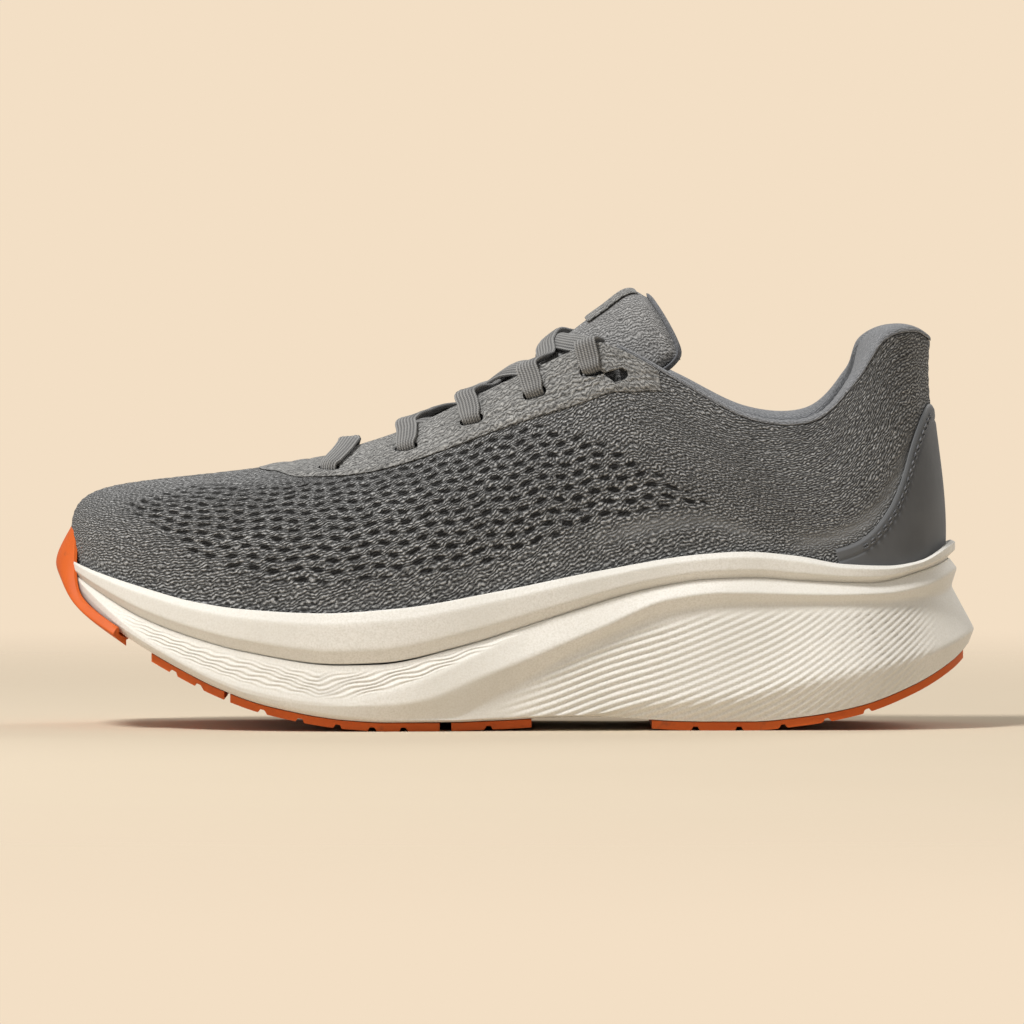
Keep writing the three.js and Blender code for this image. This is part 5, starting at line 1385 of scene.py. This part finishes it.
def lace():
    first, second = lace_half(False, 0), lace_half(True, 1)
    keys = first[::-1] + crossing(first[0], second[0], 0) + second
    points = np.array([k[0] for k in keys])
    sideways = np.array([k[1] for k in keys])
    for i in range(1, len(keys)):
        if sideways[i] @ sideways[i - 1] < 0:
            sideways[i] *= -1
    widths = np.array([k[2] for k in keys], float)
    fine = np.linspace(0, len(keys) - 1.001, 6000)
    length = lengths_along(catmull(points, fine))
    t = np.interp(np.arange(0, length[-1], LACE_STEP), length, fine)
    centre = catmull(points, t)
    tangent = unit(np.gradient(centre, axis=0))
    i = np.floor(t).astype(int)
    s3 = smoothstep(t - i, 0, 1)[:, None]
    way = lerp(sideways[i], sideways[i + 1], s3)
    way = unit(way - tangent * np.sum(way * tangent, -1, keepdims=True))
    wide = lerp(widths[i], widths[i + 1], s3[:, 0])
    face = unit(np.cross(tangent, way))
    angle = np.linspace(0, 2 * pi, 40, endpoint=False)
    a = np.sign(np.cos(angle)) * np.abs(np.cos(angle)) ** 0.55
    b = np.sign(np.sin(angle)) * np.abs(np.sin(angle)) ** 0.8
    b = b * (1 + 0.16 * np.cos(2 * pi * a * 3))
    half_width = (LACE_SPREAD * LACE_WIDTH * wide / 2)[:, None]
    rings = (centre[:, None] + way[:, None] * (a[None] * half_width)[..., None]
             + face[:, None] * (b * LACE / 2)[None, :, None])
    n, m = rings.shape[:2]
    uv = np.stack(np.broadcast_arrays(np.arange(n)[:, None] * LACE_STEP, (a * LACE_WIDTH / 2)[None]), -1)
    made = new_mesh("lace_cord", rings, ribbon_faces(n, m), LACE_LOOK, "shoe", uv)
    weld(made, 1e-6)
    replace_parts(made, "shoelace")


# ------------------------------------------------------------------ inside
BOARD_EDGE_RISE = 5


def foot_board(name, inset, low, high, material, body):
    """A board that follows the footbed, with its edge standing higher than its middle."""
    turn = fine_turns(1.6)

    def height(base, hollow):
        def at(x, w):
            rise = BOARD_EDGE_RISE * smoothstep(x, -60, 60)
            return footbed_at(x) + base + rise * lerp(1, np.abs(w) ** 6, hollow)
        return at

    inward = np.full(turn.shape, -float(inset))
    ends = wall_point(turn, inward, footbed_at), wall_point(2 - turn, inward, footbed_at)
    width = np.linalg.norm(ends[0] - ends[1], axis=1)
    hollow = smoothstep(width, 8, 40)[:, None]

    def edge(side, base):
        return wall_point(side, inward, lambda x: height(base, 1.0)(x, 1.0))

    low_outer, low_inner = edge(turn, low), edge(2 - turn, low)
    high_outer, high_inner = edge(turn, high), edge(2 - turn, high)
    rings = np.concatenate([
        high_outer[:, None], low_outer[:, None], across(low_outer, low_inner, 31, height(low, hollow)),
        low_inner[:, None], high_inner[:, None], across(high_inner, high_outer, 31, height(high, hollow))], 1)
    return loft(name, rings, material, body)


def finish_node(name, material):
    """Gives a carried-over CAD node its material."""
    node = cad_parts[name]
    if not node.material_slots:
        node.data.materials.append(material)
    for place in node.material_slots:
        place.link = "OBJECT"
        place.material = material
    return node


def inside():
    low = STROBEL + 4 * GAP + SOCK_FOAM
    cover = foot_board("sockliner_top_cloth", RIB_FOOT_IN + KNIT + 4.5, low, low + SOCK_COVER, LINING_LOOK,
                       "sockliner")
    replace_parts(cover, "sockliner_cover")
    finish_node("strobel_board", BOARD_LOOK)
    finish_node("heel_counter", STIFF_LOOK)
    finish_node("toe_puff", STIFF_LOOK)
    finish_node("eyestay_backing", BACKING_LOOK)
    for name in ("aglet_lateral", "aglet_medial"):
        finish_node(name, AGLET_LOOK)
    for name in ("collar_foam_lateral", "collar_foam_medial", "sockliner"):
        finish_node(name, PADDING_LOOK)


# ------------------------------------------------------------------ camera, light and floor
def look_from(obj, place, target):
    obj.location = place
    obj.rotation_euler = (Vector(target) - Vector(place)).to_track_quat("-Z", "Y").to_euler()


CAMERA_TARGET, CAMERA_DISTANCE = Vector((-0.0005, 0, 0.069)), 3.0
CAMERA_ELEVATION, CAMERA_LENS = radians(1), 326
WALL_SEEN, WALL_SHED, SHED_STRENGTH = (243, 223, 197), (248, 243, 236), 0.42
FLOOR_DARK, FLOOR_LIGHT, FLOOR_RADIUS, FLOOR_CLEARS = (203, 189, 168), (208, 194, 173), 6, (0.22, 1.1)
LAMP_TARGET = (0, 0, 0.06)
# Each lamp's name, place, diameter, power and colour.
LAMPS = [
    ("key", (-0.7, -0.65, 1.6), 0.45, 30, (1, 0.985, 0.96)),
    ("fill", (-1.3, -1.2, 0.5), 1.2, 3, (1, 0.99, 0.97)),
    ("rim", (1.0, 1.1, 1.1), 0.9, 10, (1, 0.99, 0.97)),
]


def add_camera():
    camera = bpy.data.objects.new("camera", bpy.data.cameras.new("camera"))
    bpy.context.scene.collection.objects.link(camera)
    camera.data.lens = CAMERA_LENS
    away = Vector((0, -np.cos(CAMERA_ELEVATION), np.sin(CAMERA_ELEVATION)))
    look_from(camera, CAMERA_TARGET + away * CAMERA_DISTANCE, CAMERA_TARGET)
    bpy.context.scene.camera = camera


def add_floor():
    bpy.ops.mesh.primitive_circle_add(vertices=128, radius=FLOOR_RADIUS, fill_type="NGON")
    floor = bpy.context.object
    floor.name = "floor"
    look = Look("studio_floor", (240, 222, 196), 0.9, specular=0.1)
    look.colour(look.mix(look.noise(look.place(), 0.004, 4), FLOOR_DARK, FLOOR_LIGHT))
    look.fade_out(*FLOOR_CLEARS)
    floor.data.materials.append(look.material)


def add_world():
    """A plain wall of one colour to the eye, which sheds a paler light."""
    world = bpy.data.worlds.new("studio")
    bpy.context.scene.world = world
    world.use_nodes = True
    tree = world.node_tree
    seen, shed = tree.nodes["Background"], tree.nodes.new("ShaderNodeBackground")
    for background, colour, strength in ((seen, WALL_SEEN, 1.0), (shed, WALL_SHED, SHED_STRENGTH)):
        background.inputs[0].default_value = (*linear(colour), 1)
        background.inputs[1].default_value = strength
    blend = tree.nodes.new("ShaderNodeMixShader")
    tree.links.new(tree.nodes.new("ShaderNodeLightPath").outputs["Is Camera Ray"], blend.inputs[0])
    tree.links.new(shed.outputs[0], blend.inputs[1])
    tree.links.new(seen.outputs[0], blend.inputs[2])
    tree.links.new(blend.outputs[0], tree.nodes["World Output"].inputs[0])


def add_lamps():
    for name, place, size, power, colour in LAMPS:
        lamp = bpy.data.objects.new(name, bpy.data.lights.new(name, "AREA"))
        bpy.context.scene.collection.objects.link(lamp)
        lamp.data.shape = "DISK"
        lamp.data.size = size
        lamp.data.energy = power
        lamp.data.color = colour
        look_from(lamp, place, LAMP_TARGET)


def stage():
    add_camera()
    add_floor()
    add_world()
    bpy.context.scene.view_settings.view_transform = "Standard"
    add_lamps()


stage()
midsole()
outsole()
knit()
overlay()
heel_panel()
collar_lining()
tongue()
lace()
inside()
